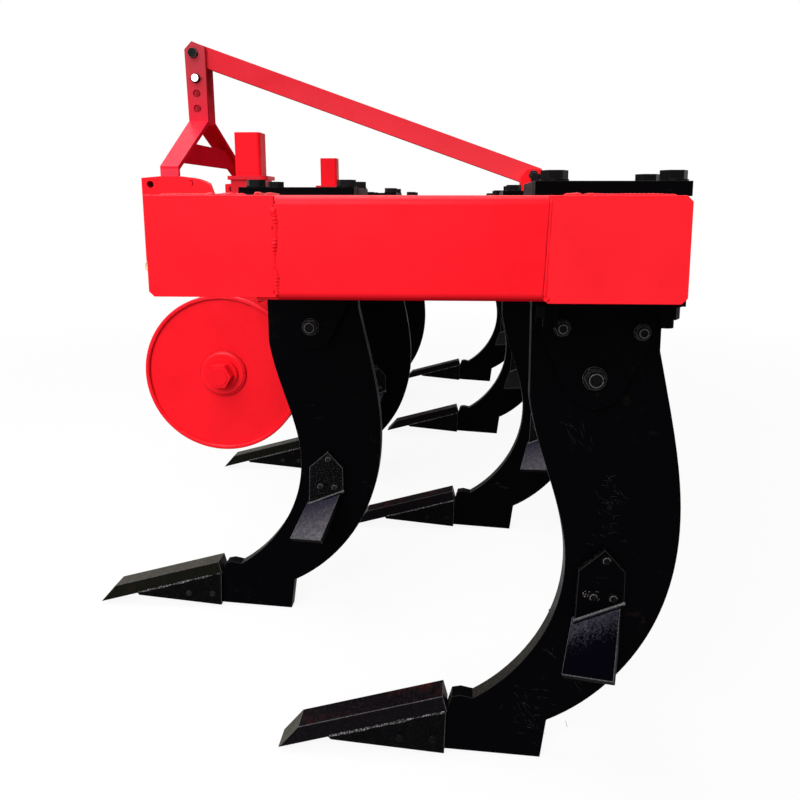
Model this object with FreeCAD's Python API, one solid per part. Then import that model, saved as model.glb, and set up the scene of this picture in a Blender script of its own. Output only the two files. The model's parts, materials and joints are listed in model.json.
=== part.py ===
import FreeCAD, Part
import math
import os

# Mounted subsoiler with seven curved tines in two staggered rows.
# Millimetres. X is the width (left side +X), Y runs to the rear, Z is up, and the ground is Z = 0.

os.makedirs("parts", exist_ok=True)
V = FreeCAD.Vector

# Distance from the source's own Y origin to the middle of the machine's length
MID_Y = 7.32

# Frame of box-section beams
BEAM = 140.0
BEAM_WALL = 10.0
BEAM_CORNER = 13.0
BEAM_Z = 930.0
BEAM_TOP = BEAM_Z + BEAM / 2
BEAM_BOTTOM = BEAM_Z - BEAM / 2
ROW_GAP = 565.0
REAR_BEAM_Y = 520.0
FRONT_BEAM_Y = REAR_BEAM_Y - ROW_GAP
HALF_WIDTH = 1750.0
END_PLATE = 10.0
FRONT_PLATE_Y = (-122.0, 52.0)
REAR_PLATE_Y = (414.0, 598.0)
FRONT_PLATE_RAISED = 4.5
STRUT_X = 250.0
STRUT_WIDTH = 100.0

# Tines: X stations of each row, and the tip's distance ahead of its beam
TINE_PITCH = 500.0
REAR_STATIONS = [3 * TINE_PITCH, TINE_PITCH, -TINE_PITCH, -3 * TINE_PITCH]
FRONT_STATIONS = [2 * TINE_PITCH, 0.0, -2 * TINE_PITCH]
TIP_TO_BEAM = 550.0
SHANK_THICK = 30.0
CHISEL_WIDTH = 50.0
CHISEL_THICK = 32.0
CHISEL_LENGTH = 320.0
CHISEL_ANGLE = 14.9
CHISEL_BEVEL = 48.0
TIP_Z = 9.5
SHARE_PLATE = 10.0
WING_THICK = 12.0
WING_FLARE = 119.0
WING_HIND = 0.70

# Beam clamps: half width, reach behind the beam's middle, and reach ahead of it in each row
CLAMP_HALF_X = 115.0
CLAMP_REAR = 114.0
CLAMP_AHEAD = {"front": 134.0, "rear": 114.0}
CLAMP_BOLT_INSETS = (31.0, 21.0)
CLAMP_TOP_THICK = 22.0
CLAMP_BASE_THICK = 22.0
CLAMP_BOLT_X = 85.0
CLAMP_BOLT_R = 12.0
CHEEK_THICK = 18.0
CHEEK_NOSE_R = 52.0
PIVOT = (547.0, 709.0)
CHECK_BOLTS = [(492.0, 792.0), (620.0, 786.0)]
CHEEK_Y = (450.0, 655.0)

# Headstock
RAIL_X = 407.0
RAIL_WIDTH = 82.0
HITCH_PLATE = 16.0
HITCH_PIN_Y = -638.0
LOWER_PIN_Z = 798.0
LOWER_HOLE_R = 14.3
UPPER_HOLE = (-634.0, 1042.0)
UPPER_HOLE_R = 10.0
SPACER_R = 13.0
MAST_Y = -624.0
MAST_BAR = 14.0
MAST_GAP = 52.0
MAST_TOP = 1530.0
MAST_BOLT = (-629.0, 1491.0)
TOP_LINK_Z = LOWER_PIN_Z + 610.0
TOP_LINK_R = 12.7
BRACE = 67.0
BRACE_WIDTH = 46.0

# Gauge wheels
LEG = 70.0
LEG_WALL = 8.0
LEG_X = 625.0
LEG_Y = -284.0
LEG_TOP = 1175.0
LEG_FOOT = 527.0
LEG_CORNER = 9.0
SLEEVE = 94.0
SLEEVE_Z = (800.0, 1050.0)
COLLAR = 110.0
COLLAR_THICK = 10.0
WHEEL_Z = 578.0
WHEEL_R = 193.0
WHEEL_X = (860.0, 950.0)
RIM_WALL = 8.0
RIM_RECESS = 6.0
HUB_R = 53.0
AXLE_R = 22.0


def save(name, shape):
    """Writes one node of the assembly, with the origin at the middle of the machine."""
    moved = shape.copy()
    moved.translate(V(0, -MID_Y, 0))
    moved.exportStep("parts/" + name + ".step")


def box(x0, x1, y0, y1, z0, z1):
    """A block between two corners."""
    return Part.makeBox(x1 - x0, y1 - y0, z1 - z0, V(x0, y0, z0))


def rod(start, axis, radius, length):
    """A plain cylinder."""
    return Part.makeCylinder(radius, length, V(*start), V(*axis))


def hexagon(centre, axis, across_flats, height):
    """A hexagonal prism along one of the main axes."""
    reach = across_flats / math.sqrt(3)
    n = V(*axis)
    u = V(0, 0, 1) if abs(n.z) < 0.5 else V(1, 0, 0)
    w = n.cross(u)
    corners = []
    for i in range(7):
        a = math.radians(60 * i + 30)
        corners.append(V(*centre) + u * (reach * math.cos(a)) + w * (reach * math.sin(a)))
    return Part.Face(Part.makePolygon(corners)).extrude(n * height)


def mirrored(shape):
    """The same piece on the other side of the machine."""
    return shape.mirror(V(0, 0, 0), V(1, 0, 0))


def tube(along, start, end, centre, width, height, wall, corner):
    """A hollow box section along X or Y, with round edges; width is across, height is up."""
    if along == "x":
        outer = box(start, end, centre[0] - width / 2, centre[0] + width / 2,
                    centre[1] - height / 2, centre[1] + height / 2)
        inner = box(start, end, centre[0] - width / 2 + wall, centre[0] + width / 2 - wall,
                    centre[1] - height / 2 + wall, centre[1] + height / 2 - wall)
    else:
        outer = box(centre[0] - width / 2, centre[0] + width / 2, start, end,
                    centre[1] - height / 2, centre[1] + height / 2)
        inner = box(centre[0] - width / 2 + wall, centre[0] + width / 2 - wall, start, end,
                    centre[1] - height / 2 + wall, centre[1] + height / 2 - wall)
    edges = []
    for e in outer.Edges:
        span = e.Vertexes[-1].Point - e.Vertexes[0].Point
        if abs(span.x if along == "x" else span.y) > 1:
            edges.append(e)
    return outer.makeFillet(corner, edges).cut(inner)


def yz(y, z, x=0.0):
    """A point given by its Y and Z."""
    return V(x, y, z)


def line(a, b):
    """A straight edge."""
    return Part.makeLine(a, b)


def plate(outline, thickness, x0=0.0):
    """A flat plate parallel to the YZ plane, from a closed list of corners."""
    corners = [yz(y, z, x0) for y, z in outline]
    face = Part.Face(Part.makePolygon(corners + corners[:1]))
    return face.extrude(V(thickness, 0, 0))


def shank():
    """The curved tine leg, with its toe, heel block and the stop block on the shin."""
    shin_foot = yz(356, 114)
    shin_top = yz(444, 672)
    shin = Part.BSplineCurve()
    shin.interpolate([shin_foot, yz(452, 202), yz(503, 309), yz(511, 402), yz(485, 518), shin_top])
    heel_top = yz(488, 75)
    back_high = yz(655, 752)
    back = Part.BSplineCurve()
    back.interpolate([heel_top, yz(558, 119), yz(660, 246), yz(694, 343), yz(704, 476), yz(690, 590), back_high])
    top = BEAM_BOTTOM - CLAMP_BASE_THICK
    corners = [shin_top, yz(444, top), yz(655, top), back_high]
    foot = [heel_top, yz(478, 0), yz(310, 11), yz(210, 15), yz(190, 58), yz(310, 90),
            yz(318, 116), yz(334, 119), yz(352, 115), shin_foot]
    edges = [shin.toShape(), back.toShape()]
    for outline in (corners, foot):
        for a, b in zip(outline[:-1], outline[1:]):
            edges.append(line(a, b))
    face = Part.Face(Part.Wire(Part.__sortEdges__(edges)))
    body = face.extrude(V(SHANK_THICK, 0, 0))
    body.translate(V(-SHANK_THICK / 2, 0, 0))
    for (y, z), r in zip([PIVOT] + CHECK_BOLTS, [12.5, 8.5, 8.5]):
        body = body.cut(rod((-50, y, z), (1, 0, 0), r, 100))
    return body


def chisel():
    """The point: a bar with a bevelled tip, on two side plates that straddle the toe."""
    bar = Part.Face(Part.makePolygon([
        V(0, 0, 0), V(0, CHISEL_LENGTH, 0), V(0, CHISEL_LENGTH, CHISEL_THICK),
        V(0, CHISEL_BEVEL, CHISEL_THICK), V(0, 0, 0)])).extrude(V(CHISEL_WIDTH, 0, 0))
    bar.translate(V(-CHISEL_WIDTH / 2, 0, 0))
    bar.rotate(V(0, 0, 0), V(1, 0, 0), CHISEL_ANGLE)
    bar.translate(V(0, 1, TIP_Z))
    slope = math.tan(math.radians(CHISEL_ANGLE))
    front = 93.0
    rear = 308.0
    outline = [(front, TIP_Z + front * slope + 2), (98, 29), (305, 8), (rear, TIP_Z + rear * slope + 2)]
    for x0 in (-SHANK_THICK / 2 - SHARE_PLATE, SHANK_THICK / 2):
        bar = bar.fuse(plate(outline, SHARE_PLATE, x0))
    return bar.removeSplitter()


def wing(side):
    """One wing: a pentagonal bolted plate, bent along its lower edge into a flared blade."""
    face_x = SHANK_THICK / 2
    fold = [(530, 271), (614, 305)]
    base = plate([(578, 408), (534, 370)] + fold + [(614, 368)], WING_THICK, face_x)
    a, b = (yz(y, z, face_x) for y, z in fold)
    c = V(face_x + WING_FLARE, 582, 226)
    across = b - a
    down = c - b
    d = a + down * WING_HIND - across * 0.05
    normal = across.cross(down)
    normal.normalize()
    if normal.x < 0:
        normal = normal * -1
    blade = Part.Face(Part.makePolygon([a, b, c, d, a])).extrude(normal * WING_THICK)
    piece = base.fuse(blade).removeSplitter()
    return piece if side > 0 else mirrored(piece)


def bracket(ahead):
    """The clamp's lower half: a base plate with four bolt holes and two cheeks that hold the tine."""
    top = BEAM_BOTTOM
    low = top - CLAMP_BASE_THICK
    body = box(-CLAMP_HALF_X, CLAMP_HALF_X, TIP_TO_BEAM - ahead, TIP_TO_BEAM + CLAMP_REAR, low, top)
    for x, y in clamp_holes(ahead):
        body = body.cut(rod((x, y, low - 1), (0, 0, 1), CLAMP_BOLT_R + 1, CLAMP_BASE_THICK + 2))
    py, pz = PIVOT
    front = (CHEEK_Y[0], 800.0)
    rear = (CHEEK_Y[1], 800.0)
    fy, fz = tangent_point(front, PIVOT, CHEEK_NOSE_R, -1)
    ry, rz = tangent_point(rear, PIVOT, CHEEK_NOSE_R, 1)
    edges = [line(yz(front[0], low + 1), yz(*front)), line(yz(*front), yz(fy, fz)),
             Part.Arc(yz(fy, fz), yz(py, pz - CHEEK_NOSE_R), yz(ry, rz)).toShape(),
             line(yz(ry, rz), yz(*rear)), line(yz(*rear), yz(rear[0], low + 1)),
             line(yz(rear[0], low + 1), yz(front[0], low + 1))]
    face = Part.Face(Part.Wire(edges))
    cheek = face.extrude(V(CHEEK_THICK, 0, 0))
    for (y, z), r in zip([PIVOT] + CHECK_BOLTS, [12.5, 8.5, 8.5]):
        cheek = cheek.cut(rod((-5, y, z), (1, 0, 0), r, 60))
    inner = SHANK_THICK / 2 + 0.5
    left = cheek.copy()
    left.translate(V(inner, 0, 0))
    return body.fuse([left, mirrored(left)]).removeSplitter()


def tangent_point(p, centre, radius, side):
    """Where the line from p touches a circle, on the given side."""
    dy = centre[0] - p[0]
    dz = centre[1] - p[1]
    span = math.hypot(dy, dz)
    lean = math.asin(radius / span)
    angle = math.atan2(dz, dy) + side * lean
    reach = math.sqrt(span * span - radius * radius)
    return p[0] + reach * math.cos(angle), p[1] + reach * math.sin(angle)


def clamp_holes(ahead):
    """Bolt positions of a clamp, in the tine's own frame."""
    ends = (TIP_TO_BEAM - ahead + CLAMP_BOLT_INSETS[0], TIP_TO_BEAM + CLAMP_REAR - CLAMP_BOLT_INSETS[1])
    return [(side * CLAMP_BOLT_X, y) for side in (-1, 1) for y in ends]


def clamp_plate(ahead):
    """The clamp's upper half."""
    body = box(-CLAMP_HALF_X, CLAMP_HALF_X, TIP_TO_BEAM - ahead, TIP_TO_BEAM + CLAMP_REAR,
               BEAM_TOP, BEAM_TOP + CLAMP_TOP_THICK)
    for x, y in clamp_holes(ahead):
        body = body.cut(rod((x, y, BEAM_TOP - 1), (0, 0, 1), CLAMP_BOLT_R + 1, CLAMP_TOP_THICK + 2))
    return body


def clamp_bolt(x, y):
    """A long bolt down one corner of the clamp, with its washers and nut."""
    seat = BEAM_TOP + CLAMP_TOP_THICK
    low = BEAM_BOTTOM - CLAMP_BASE_THICK
    parts = [rod((x, y, low - 36), (0, 0, 1), CLAMP_BOLT_R, seat + 3 - low + 36),
             rod((x, y, seat), (0, 0, 1), 22, 3), hexagon((x, y, seat + 3), (0, 0, 1), 36, 13),
             rod((x, y, low - 3), (0, 0, 1), 22, 3), hexagon((x, y, low - 22), (0, 0, 1), 36, 19)]
    return parts[0].fuse(parts[1:]).removeSplitter()


def cross_bolt(y, z, radius, across_flats):
    """A bolt through both cheeks and the tine, with washers, a head and a nut."""
    face = SHANK_THICK / 2 + 0.5 + CHEEK_THICK
    washer = 3.0
    head = across_flats * 0.38
    seat = face + washer
    parts = [rod((-seat - head - 5, y, z), (1, 0, 0), radius, 2 * seat + head + 10),
             rod((face, y, z), (1, 0, 0), across_flats * 0.66, washer),
             rod((-seat, y, z), (1, 0, 0), across_flats * 0.66, washer),
             hexagon((seat, y, z), (1, 0, 0), across_flats, head),
             hexagon((-seat - head, y, z), (1, 0, 0), across_flats, head)]
    return parts[0].fuse(parts[1:]).removeSplitter()


def placed(shape, station, beam_y):
    """A tine piece moved from the tine's own frame to its station."""
    copy = shape.copy()
    copy.translate(V(station, beam_y - TIP_TO_BEAM, 0))
    return copy


def build_tines():
    """Both rows of tines with their points, wings, clamps and bolts."""
    leg = shank()
    point = chisel()
    cross = [cross_bolt(*PIVOT, 12.0, 30.0)] + [cross_bolt(y, z, 8.0, 21.0) for y, z in CHECK_BOLTS]
    for row, stations, beam_y in (("front", FRONT_STATIONS, FRONT_BEAM_Y), ("rear", REAR_STATIONS, REAR_BEAM_Y)):
        ahead = CLAMP_AHEAD[row]
        holder = bracket(ahead)
        bolts = [clamp_bolt(x, y) for x, y in clamp_holes(ahead)]
        for i, station in enumerate(stations):
            save("shank_%s_%d" % (row, i + 1), placed(leg, station, beam_y))
            save("point_%s_%d" % (row, i + 1), placed(point, station, beam_y))
            save("clamp_base_%s_%d" % (row, i + 1), placed(holder, station, beam_y))
        groups = {"wings": [wing(1), wing(-1)], "clamp_plates": [clamp_plate(ahead)], "clamp_bolts": bolts, "tine_bolts": cross}
        for name, shapes in groups.items():
            pieces = [placed(s, station, beam_y) for station in stations for s in shapes]
            save(name + "_" + row, Part.makeCompound(pieces))


def end_plate(y_span, z_low, chamfers):
    """A flat plate that closes a beam's end; chamfers cuts its front-low, rear-low and rear-top corners."""
    y0, y1 = y_span
    front_low, rear_low, rear_top = chamfers
    outline = [(y0, z_low + front_low), (y0 + front_low, z_low), (y1 - rear_low, z_low), (y1, z_low + rear_low),
               (y1, BEAM_TOP - rear_top), (y1 - rear_top, BEAM_TOP), (y0, BEAM_TOP)]
    return plate(outline, END_PLATE, HALF_WIDTH - END_PLATE)


def build_frame():
    """The rectangle of beams, its struts and the plates on the beams' ends."""
    reach = HALF_WIDTH - END_PLATE
    raised = BEAM_BOTTOM + FRONT_PLATE_RAISED
    front_beam = tube("x", -reach, reach, (FRONT_BEAM_Y, BEAM_Z), BEAM, BEAM, BEAM_WALL, BEAM_CORNER)
    relief = Part.Face(Part.makePolygon([
        V(reach - 110, 0, BEAM_BOTTOM), V(reach + 1, 0, BEAM_BOTTOM - 1), V(reach + 1, 0, raised),
        V(reach, 0, raised), V(reach - 110, 0, BEAM_BOTTOM)])).extrude(V(0, BEAM, 0))
    relief.translate(V(0, FRONT_BEAM_Y - BEAM / 2, 0))
    save("front_beam", front_beam.cut(relief).cut(mirrored(relief)))
    save("rear_beam", tube("x", -reach, reach, (REAR_BEAM_Y, BEAM_Z), BEAM, BEAM, BEAM_WALL, BEAM_CORNER))
    front = end_plate(FRONT_PLATE_Y, raised, (7.0, 1.0, 1.0))
    rear = end_plate(REAR_PLATE_Y, BEAM_BOTTOM - 1.5, (1.0, 8.0, 8.0))
    save("end_plates", Part.makeCompound([front, rear, mirrored(front), mirrored(rear)]))
    y0 = FRONT_BEAM_Y + BEAM / 2
    y1 = REAR_BEAM_Y - BEAM / 2
    side = tube("y", y0, y1, (HALF_WIDTH - BEAM / 2, BEAM_Z), BEAM, BEAM, BEAM_WALL, BEAM_CORNER)
    for y_from, y_to in ((y0 - 1, FRONT_PLATE_Y[1]), (REAR_PLATE_Y[0], y1 + 1)):
        side = side.cut(box(reach, HALF_WIDTH + 1, y_from, y_to, BEAM_BOTTOM - 10, BEAM_TOP + 10))
    save("side_beam_left", side)
    save("side_beam_right", mirrored(side))
    strut = tube("y", y0, y1, (STRUT_X, BEAM_Z), STRUT_WIDTH, BEAM, 8.0, 12.0)
    save("inner_struts", Part.makeCompound([strut, mirrored(strut)]))


def hitch_plate(x0, crest, tail):
    """One cheek of a lower hitch bracket; crest is the arc's points to its rear corner, tail the low rear corner."""
    arc = Part.Arc(yz(*crest[0], x0), yz(*crest[1], x0), yz(*crest[2], x0)).toShape()
    points = [crest[2], tail, (-474, 850), (-580, 770), (-640, 770), (-660, 792), (-660, 1061), (-603, 1066), crest[0]]
    edges = [arc]
    for a, b in zip(points[:-1], points[1:]):
        edges.append(line(yz(a[0], a[1], x0), yz(b[0], b[1], x0)))
    body = Part.Face(Part.Wire(Part.__sortEdges__(edges))).extrude(V(HITCH_PLATE, 0, 0))
    return body.cut(rod((x0 - 1, HITCH_PIN_Y, LOWER_PIN_Z), (1, 0, 0), LOWER_HOLE_R, HITCH_PLATE + 2))


def hitch_bracket(inner, outer):
    """Both cheeks of a lower hitch bracket, with the spacer tube between their upper holes."""
    near = hitch_plate(outer, [(-545, 1066), (-500, 1059), (-453, 1042)], (-440, 1003))
    far = hitch_plate(inner, [(-560, 1066), (-520, 1061), (-487, 1048)], (-474, 1003))
    spacer = rod((inner,) + UPPER_HOLE, (1, 0, 0), SPACER_R, outer - inner + HITCH_PLATE)
    bore = rod((inner - 1,) + UPPER_HOLE, (1, 0, 0), UPPER_HOLE_R, outer - inner + HITCH_PLATE + 2)
    return near.fuse([far, spacer]).cut(bore).removeSplitter()


def bent_bar(path, thickness, width, y0):
    """A flat bar bent along a path of (x, z) points, as wide in Y as given."""
    def shifted(side):
        out = []
        for i, p in enumerate(path):
            dirs = []
            if i > 0:
                dirs.append((p[0] - path[i - 1][0], p[1] - path[i - 1][1]))
            if i < len(path) - 1:
                dirs.append((path[i + 1][0] - p[0], path[i + 1][1] - p[1]))
            normals = [(-d[1] / math.hypot(*d), d[0] / math.hypot(*d)) for d in dirs]
            nx = sum(n[0] for n in normals) / len(normals)
            nz = sum(n[1] for n in normals) / len(normals)
            scale = side * thickness / 2 / (nx * nx + nz * nz)
            out.append(V(p[0] + nx * scale, y0, p[1] + nz * scale))
        return out
    corners = shifted(1) + shifted(-1)[::-1]
    return Part.Face(Part.makePolygon(corners + corners[:1])).extrude(V(0, width, 0))


def mast_bar(foot_x):
    """One bar of the mast: upright at the top, splayed below, narrower at its foot, with its holes."""
    top_x = MAST_GAP / 2 + MAST_BAR / 2
    path = [(foot_x, 1005), (foot_x, 1094), (top_x, 1262), (top_x, MAST_TOP + 5)]
    bar = bent_bar(path, MAST_BAR, 110.0, -665.0)
    outline = [(-660, 1503), (-634, MAST_TOP), (-590, 1512), (-588, 1262), (-577, 1094), (-577, 1000),
               (-634, 1000), (-634, 1094), (-655, 1262)]
    bar = bar.common(plate(outline, 500.0, 0.0))
    bar = bar.cut(rod((foot_x - MAST_BAR,) + UPPER_HOLE, (1, 0, 0), SPACER_R + 1, 2 * MAST_BAR))
    bar = bar.cut(rod((0,) + MAST_BOLT, (1, 0, 0), 10.2, 90))
    for step in range(3):
        bar = bar.cut(rod((0, MAST_Y, TOP_LINK_Z - 50 * step), (1, 0, 0), TOP_LINK_R + 0.3, 90))
    return bar


def build_headstock():
    """The hitch end: rails, cross tube, lower brackets, mast, top-link pin and stay."""
    rail = tube("y", -545, FRONT_BEAM_Y - BEAM / 2, (RAIL_X, BEAM_Z), RAIL_WIDTH, BEAM, 8.0, 10.0)
    save("headstock_rails", Part.makeCompound([rail, mirrored(rail)]))
    inner = RAIL_X - RAIL_WIDTH / 2 - HITCH_PLATE
    outer = RAIL_X + RAIL_WIDTH / 2
    save("headstock_tube", tube("x", -inner, inner, (-545, BEAM_Z), 110.0, 110.0, 8.0, 10.0))
    bracket_pair = hitch_bracket(inner, outer)
    save("hitch_plates_left", bracket_pair)
    save("hitch_plates_right", mirrored(bracket_pair))
    bar = mast_bar(inner + HITCH_PLATE + MAST_BAR / 2)
    save("mast_bar_left", bar)
    save("mast_bar_right", mirrored(bar))
    gusset = Part.Face(Part.makePolygon([V(-316, -612, 1114), V(316, -612, 1114), V(178, -612, 1182),
                                         V(-178, -612, 1182), V(-316, -612, 1114)])).extrude(V(0, 12, 0))
    save("mast_cross_plate", gusset)
    half = MAST_GAP / 2 + MAST_BAR
    save("top_link_pin", rod((-half - 30, MAST_Y, TOP_LINK_Z), (1, 0, 0), TOP_LINK_R, 2 * half + 44))
    bolt = rod((-half - 20,) + MAST_BOLT, (1, 0, 0), 10.0, 2 * half + 30)
    bolt = bolt.fuse([hexagon((half,) + MAST_BOLT, (1, 0, 0), 30, 13),
                      hexagon((-half - 15,) + MAST_BOLT, (1, 0, 0), 30, 15)])
    save("mast_bolt", bolt.removeSplitter())
    build_brace()


def build_brace():
    """The sloping stay from the mast's top to the rear beam, and its lugs."""
    top_front = (-634.0, MAST_TOP)
    top_rear = (566.0, 1105.0)
    angle = math.atan2(top_rear[1] - top_front[1], top_rear[0] - top_front[0])
    drop = BRACE / math.cos(angle)
    outline = [top_front, top_rear, (top_rear[0], top_rear[1] - drop), (top_front[0], top_front[1] - drop),
               (-657, 1465), (-657, 1506)]
    half = BRACE_WIDTH / 2
    bar = plate(outline, BRACE_WIDTH, -half)
    hole = rod((-60,) + MAST_BOLT, (1, 0, 0), 10.2, 120)
    rear_bolt = (536.0, 1083.0)
    bar = bar.cut(hole).cut(rod((-60,) + rear_bolt, (1, 0, 0), 10.2, 120))
    save("brace", bar)
    lug = plate([(493, 1000), (575, 1000), (560, 1103), (515, 1103), (493, 1076)], 12.0, half + 0.5)
    lug = lug.cut(rod((0,) + rear_bolt, (1, 0, 0), 10.2, 60))
    save("brace_lugs", Part.makeCompound([lug, mirrored(lug)]))
    seat = half + 12.5
    bolt = rod((-seat - 15,) + rear_bolt, (1, 0, 0), 10.0, 2 * seat + 30)
    bolt = bolt.fuse([hexagon((seat,) + rear_bolt, (1, 0, 0), 30, 12),
                      hexagon((-seat - 12,) + rear_bolt, (1, 0, 0), 30, 12)])
    save("brace_bolt", bolt.removeSplitter())


def upright(half, z0, z1, corner):
    """A square post about the leg's axis with rounded upright edges."""
    post = box(LEG_X - half, LEG_X + half, LEG_Y - half, LEG_Y + half, z0, z1)
    edges = []
    for e in post.Edges:
        span = e.Vertexes[-1].Point - e.Vertexes[0].Point
        if abs(span.z) > 1:
            edges.append(e)
    return post.makeFillet(corner, edges)


def wheel_sleeve():
    """The square sleeve that holds a depth wheel's leg, on its arm from the front beam, with its set bolt."""
    z0, z1 = SLEEVE_Z
    half = SLEEVE / 2
    sleeve = upright(half, z0, z1, LEG_CORNER + 3)
    arm = box(LEG_X - 40, LEG_X + 40, LEG_Y + half - 5, FRONT_BEAM_Y - BEAM / 2, 870, 990)
    sleeve = sleeve.fuse([upright(COLLAR / 2, z1, z1 + COLLAR_THICK, LEG_CORNER + 9), arm])
    sleeve = sleeve.cut(upright(LEG / 2 + 0.1, z0 - 1, z1 + COLLAR_THICK + 1, LEG_CORNER))
    boss = rod((LEG_X, LEG_Y - half - 14, 900), (0, 1, 0), 16, 15)
    bolt = rod((LEG_X, LEG_Y - half - 30, 900), (0, 1, 0), 8, 17)
    head = hexagon((LEG_X, LEG_Y - half - 40, 900), (0, 1, 0), 24, 12)
    return sleeve.fuse([boss, bolt, head]).removeSplitter()


def wheel_leg():
    """The sliding leg: a closed box-section post with the stub axle and its nut."""
    half = LEG / 2
    leg = upright(half, LEG_FOOT, LEG_TOP, LEG_CORNER)
    leg = leg.cut(upright(half - LEG_WALL, LEG_FOOT + LEG_WALL, LEG_TOP - LEG_WALL, 3.0))
    root = LEG_X + half - 1
    hub0 = WHEEL_X[0] - 5
    hub1 = WHEEL_X[1] - RIM_RECESS + 10
    axle = [rod((root, LEG_Y, WHEEL_Z), (1, 0, 0), 32, hub0 - 0.5 - root),
            rod((root, LEG_Y, WHEEL_Z), (1, 0, 0), AXLE_R, hub1 + 36 - root),
            rod((hub1 + 0.5, LEG_Y, WHEEL_Z), (1, 0, 0), 38, 8),
            hexagon((hub1 + 8.5, LEG_Y, WHEEL_Z), (1, 0, 0), 54, 26).common(
                Part.makeCone(56, 27, 29, V(hub1 + 8.5, LEG_Y, WHEEL_Z), V(1, 0, 0)))]
    return leg.fuse(axle).removeSplitter()


def depth_wheel():
    """A steel wheel: a rolled rim with a disc set in from each side, on a turned hub."""
    x0, x1 = WHEEL_X
    face0 = x0 + RIM_RECESS
    face1 = x1 - RIM_RECESS
    disc = 8.0
    bore = AXLE_R + 0.05
    lip = WHEEL_R - RIM_WALL
    outline = [(x0 - 5, bore), (face1 + 10, bore), (face1 + 10, HUB_R - 3), (face1 + 7, HUB_R), (face1, HUB_R),
               (face1, lip), (x1, lip), (x1, WHEEL_R - 2), (x1 - 2, WHEEL_R), (x0 + 2, WHEEL_R), (x0, WHEEL_R - 2),
               (x0, lip), (face0, lip), (face0, HUB_R), (x0 - 5, HUB_R)]
    corners = [V(x, LEG_Y, WHEEL_Z + r) for x, r in outline]
    face = Part.Face(Part.makePolygon(corners + corners[:1]))
    drum = face.revolve(V(0, LEG_Y, WHEEL_Z), V(1, 0, 0), 360)
    hollow = rod((face0 + disc, LEG_Y, WHEEL_Z), (1, 0, 0), lip, face1 - face0 - 2 * disc)
    core = rod((face0, LEG_Y, WHEEL_Z), (1, 0, 0), HUB_R - 8, face1 - face0)
    return drum.cut(hollow.cut(core))


def build_depth_wheels():
    """Both depth wheels with their legs and sleeves."""
    for node, shape in (("wheel_sleeve", wheel_sleeve()), ("wheel_leg", wheel_leg()), ("wheel", depth_wheel())):
        save(node + "_left", shape)
        save(node + "_right", mirrored(shape))


build_frame()
build_headstock()
build_tines()
build_depth_wheels()
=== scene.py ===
"""Looks of a mounted seven-tine subsoiler: its enamel, weld beads and fasteners, and the studio around it."""

from __future__ import annotations

import json
import logging
import math
from collections.abc import Callable
from dataclasses import dataclass, field
from enum import Enum
from functools import cached_property
from typing import Protocol

import bmesh
import bpy
from mathutils import Matrix, Vector, noise

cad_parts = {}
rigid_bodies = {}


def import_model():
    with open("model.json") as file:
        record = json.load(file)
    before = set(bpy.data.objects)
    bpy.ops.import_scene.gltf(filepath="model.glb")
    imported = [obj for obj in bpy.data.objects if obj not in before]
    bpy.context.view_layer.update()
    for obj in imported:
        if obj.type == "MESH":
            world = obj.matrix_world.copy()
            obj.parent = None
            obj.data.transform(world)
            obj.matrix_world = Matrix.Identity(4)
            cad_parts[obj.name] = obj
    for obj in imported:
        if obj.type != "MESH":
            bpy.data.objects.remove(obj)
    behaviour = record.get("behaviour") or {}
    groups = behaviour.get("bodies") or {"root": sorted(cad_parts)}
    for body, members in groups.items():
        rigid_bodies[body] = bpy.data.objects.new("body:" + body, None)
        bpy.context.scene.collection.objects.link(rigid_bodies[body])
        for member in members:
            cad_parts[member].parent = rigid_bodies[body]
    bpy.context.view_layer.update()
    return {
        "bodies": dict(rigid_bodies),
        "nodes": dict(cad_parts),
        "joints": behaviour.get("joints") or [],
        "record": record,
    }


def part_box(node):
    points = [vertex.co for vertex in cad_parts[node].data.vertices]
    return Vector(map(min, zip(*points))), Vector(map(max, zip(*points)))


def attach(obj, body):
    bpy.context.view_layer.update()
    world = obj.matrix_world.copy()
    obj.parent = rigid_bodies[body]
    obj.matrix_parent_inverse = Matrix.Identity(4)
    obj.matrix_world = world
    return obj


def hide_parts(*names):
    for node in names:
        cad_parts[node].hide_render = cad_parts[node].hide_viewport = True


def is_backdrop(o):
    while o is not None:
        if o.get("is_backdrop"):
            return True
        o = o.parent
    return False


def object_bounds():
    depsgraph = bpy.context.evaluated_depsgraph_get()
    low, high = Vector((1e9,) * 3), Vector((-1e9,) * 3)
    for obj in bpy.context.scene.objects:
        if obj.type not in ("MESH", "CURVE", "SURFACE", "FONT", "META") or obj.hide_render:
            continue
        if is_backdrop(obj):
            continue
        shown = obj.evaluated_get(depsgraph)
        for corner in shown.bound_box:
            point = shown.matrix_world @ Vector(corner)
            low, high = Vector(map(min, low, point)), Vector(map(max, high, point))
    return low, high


LOG = logging.getLogger("subsoiler")
FRAME_BODY = "toolframe"
MM = 0.001
WELD_RIPPLE = 6.0 * MM

Material = bpy.types.Material
Piece = bpy.types.Object
Socket = bpy.types.NodeSocket
Form = bmesh.types.BMesh
Triple = tuple[float, float, float]
Colour = Triple
Span = tuple[float, float]


def at(x: float, y: float, z: float) -> Vector:
    """A place or a step in the row frame, in metres."""
    return Vector((x, y, z))


class Side(Enum):
    """The two sides of the machine, with the sign of their X."""

    LEFT = 1
    RIGHT = -1

    @property
    def word(self) -> str:
        """The side's name as it ends a node's name."""
        return self.name.lower()

    def box(self, node: str) -> tuple[Vector, Vector]:
        """The two corners of this side's node."""
        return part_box(node + self.word)

    def outer(self, low: Vector, high: Vector) -> float:
        """The X of a box's face that looks away from the machine."""
        return high.x if self is Side.LEFT else low.x

    def inner(self, low: Vector, high: Vector) -> float:
        """The X of a box's face that looks to the machine's middle."""
        return low.x if self is Side.LEFT else high.x


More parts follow.
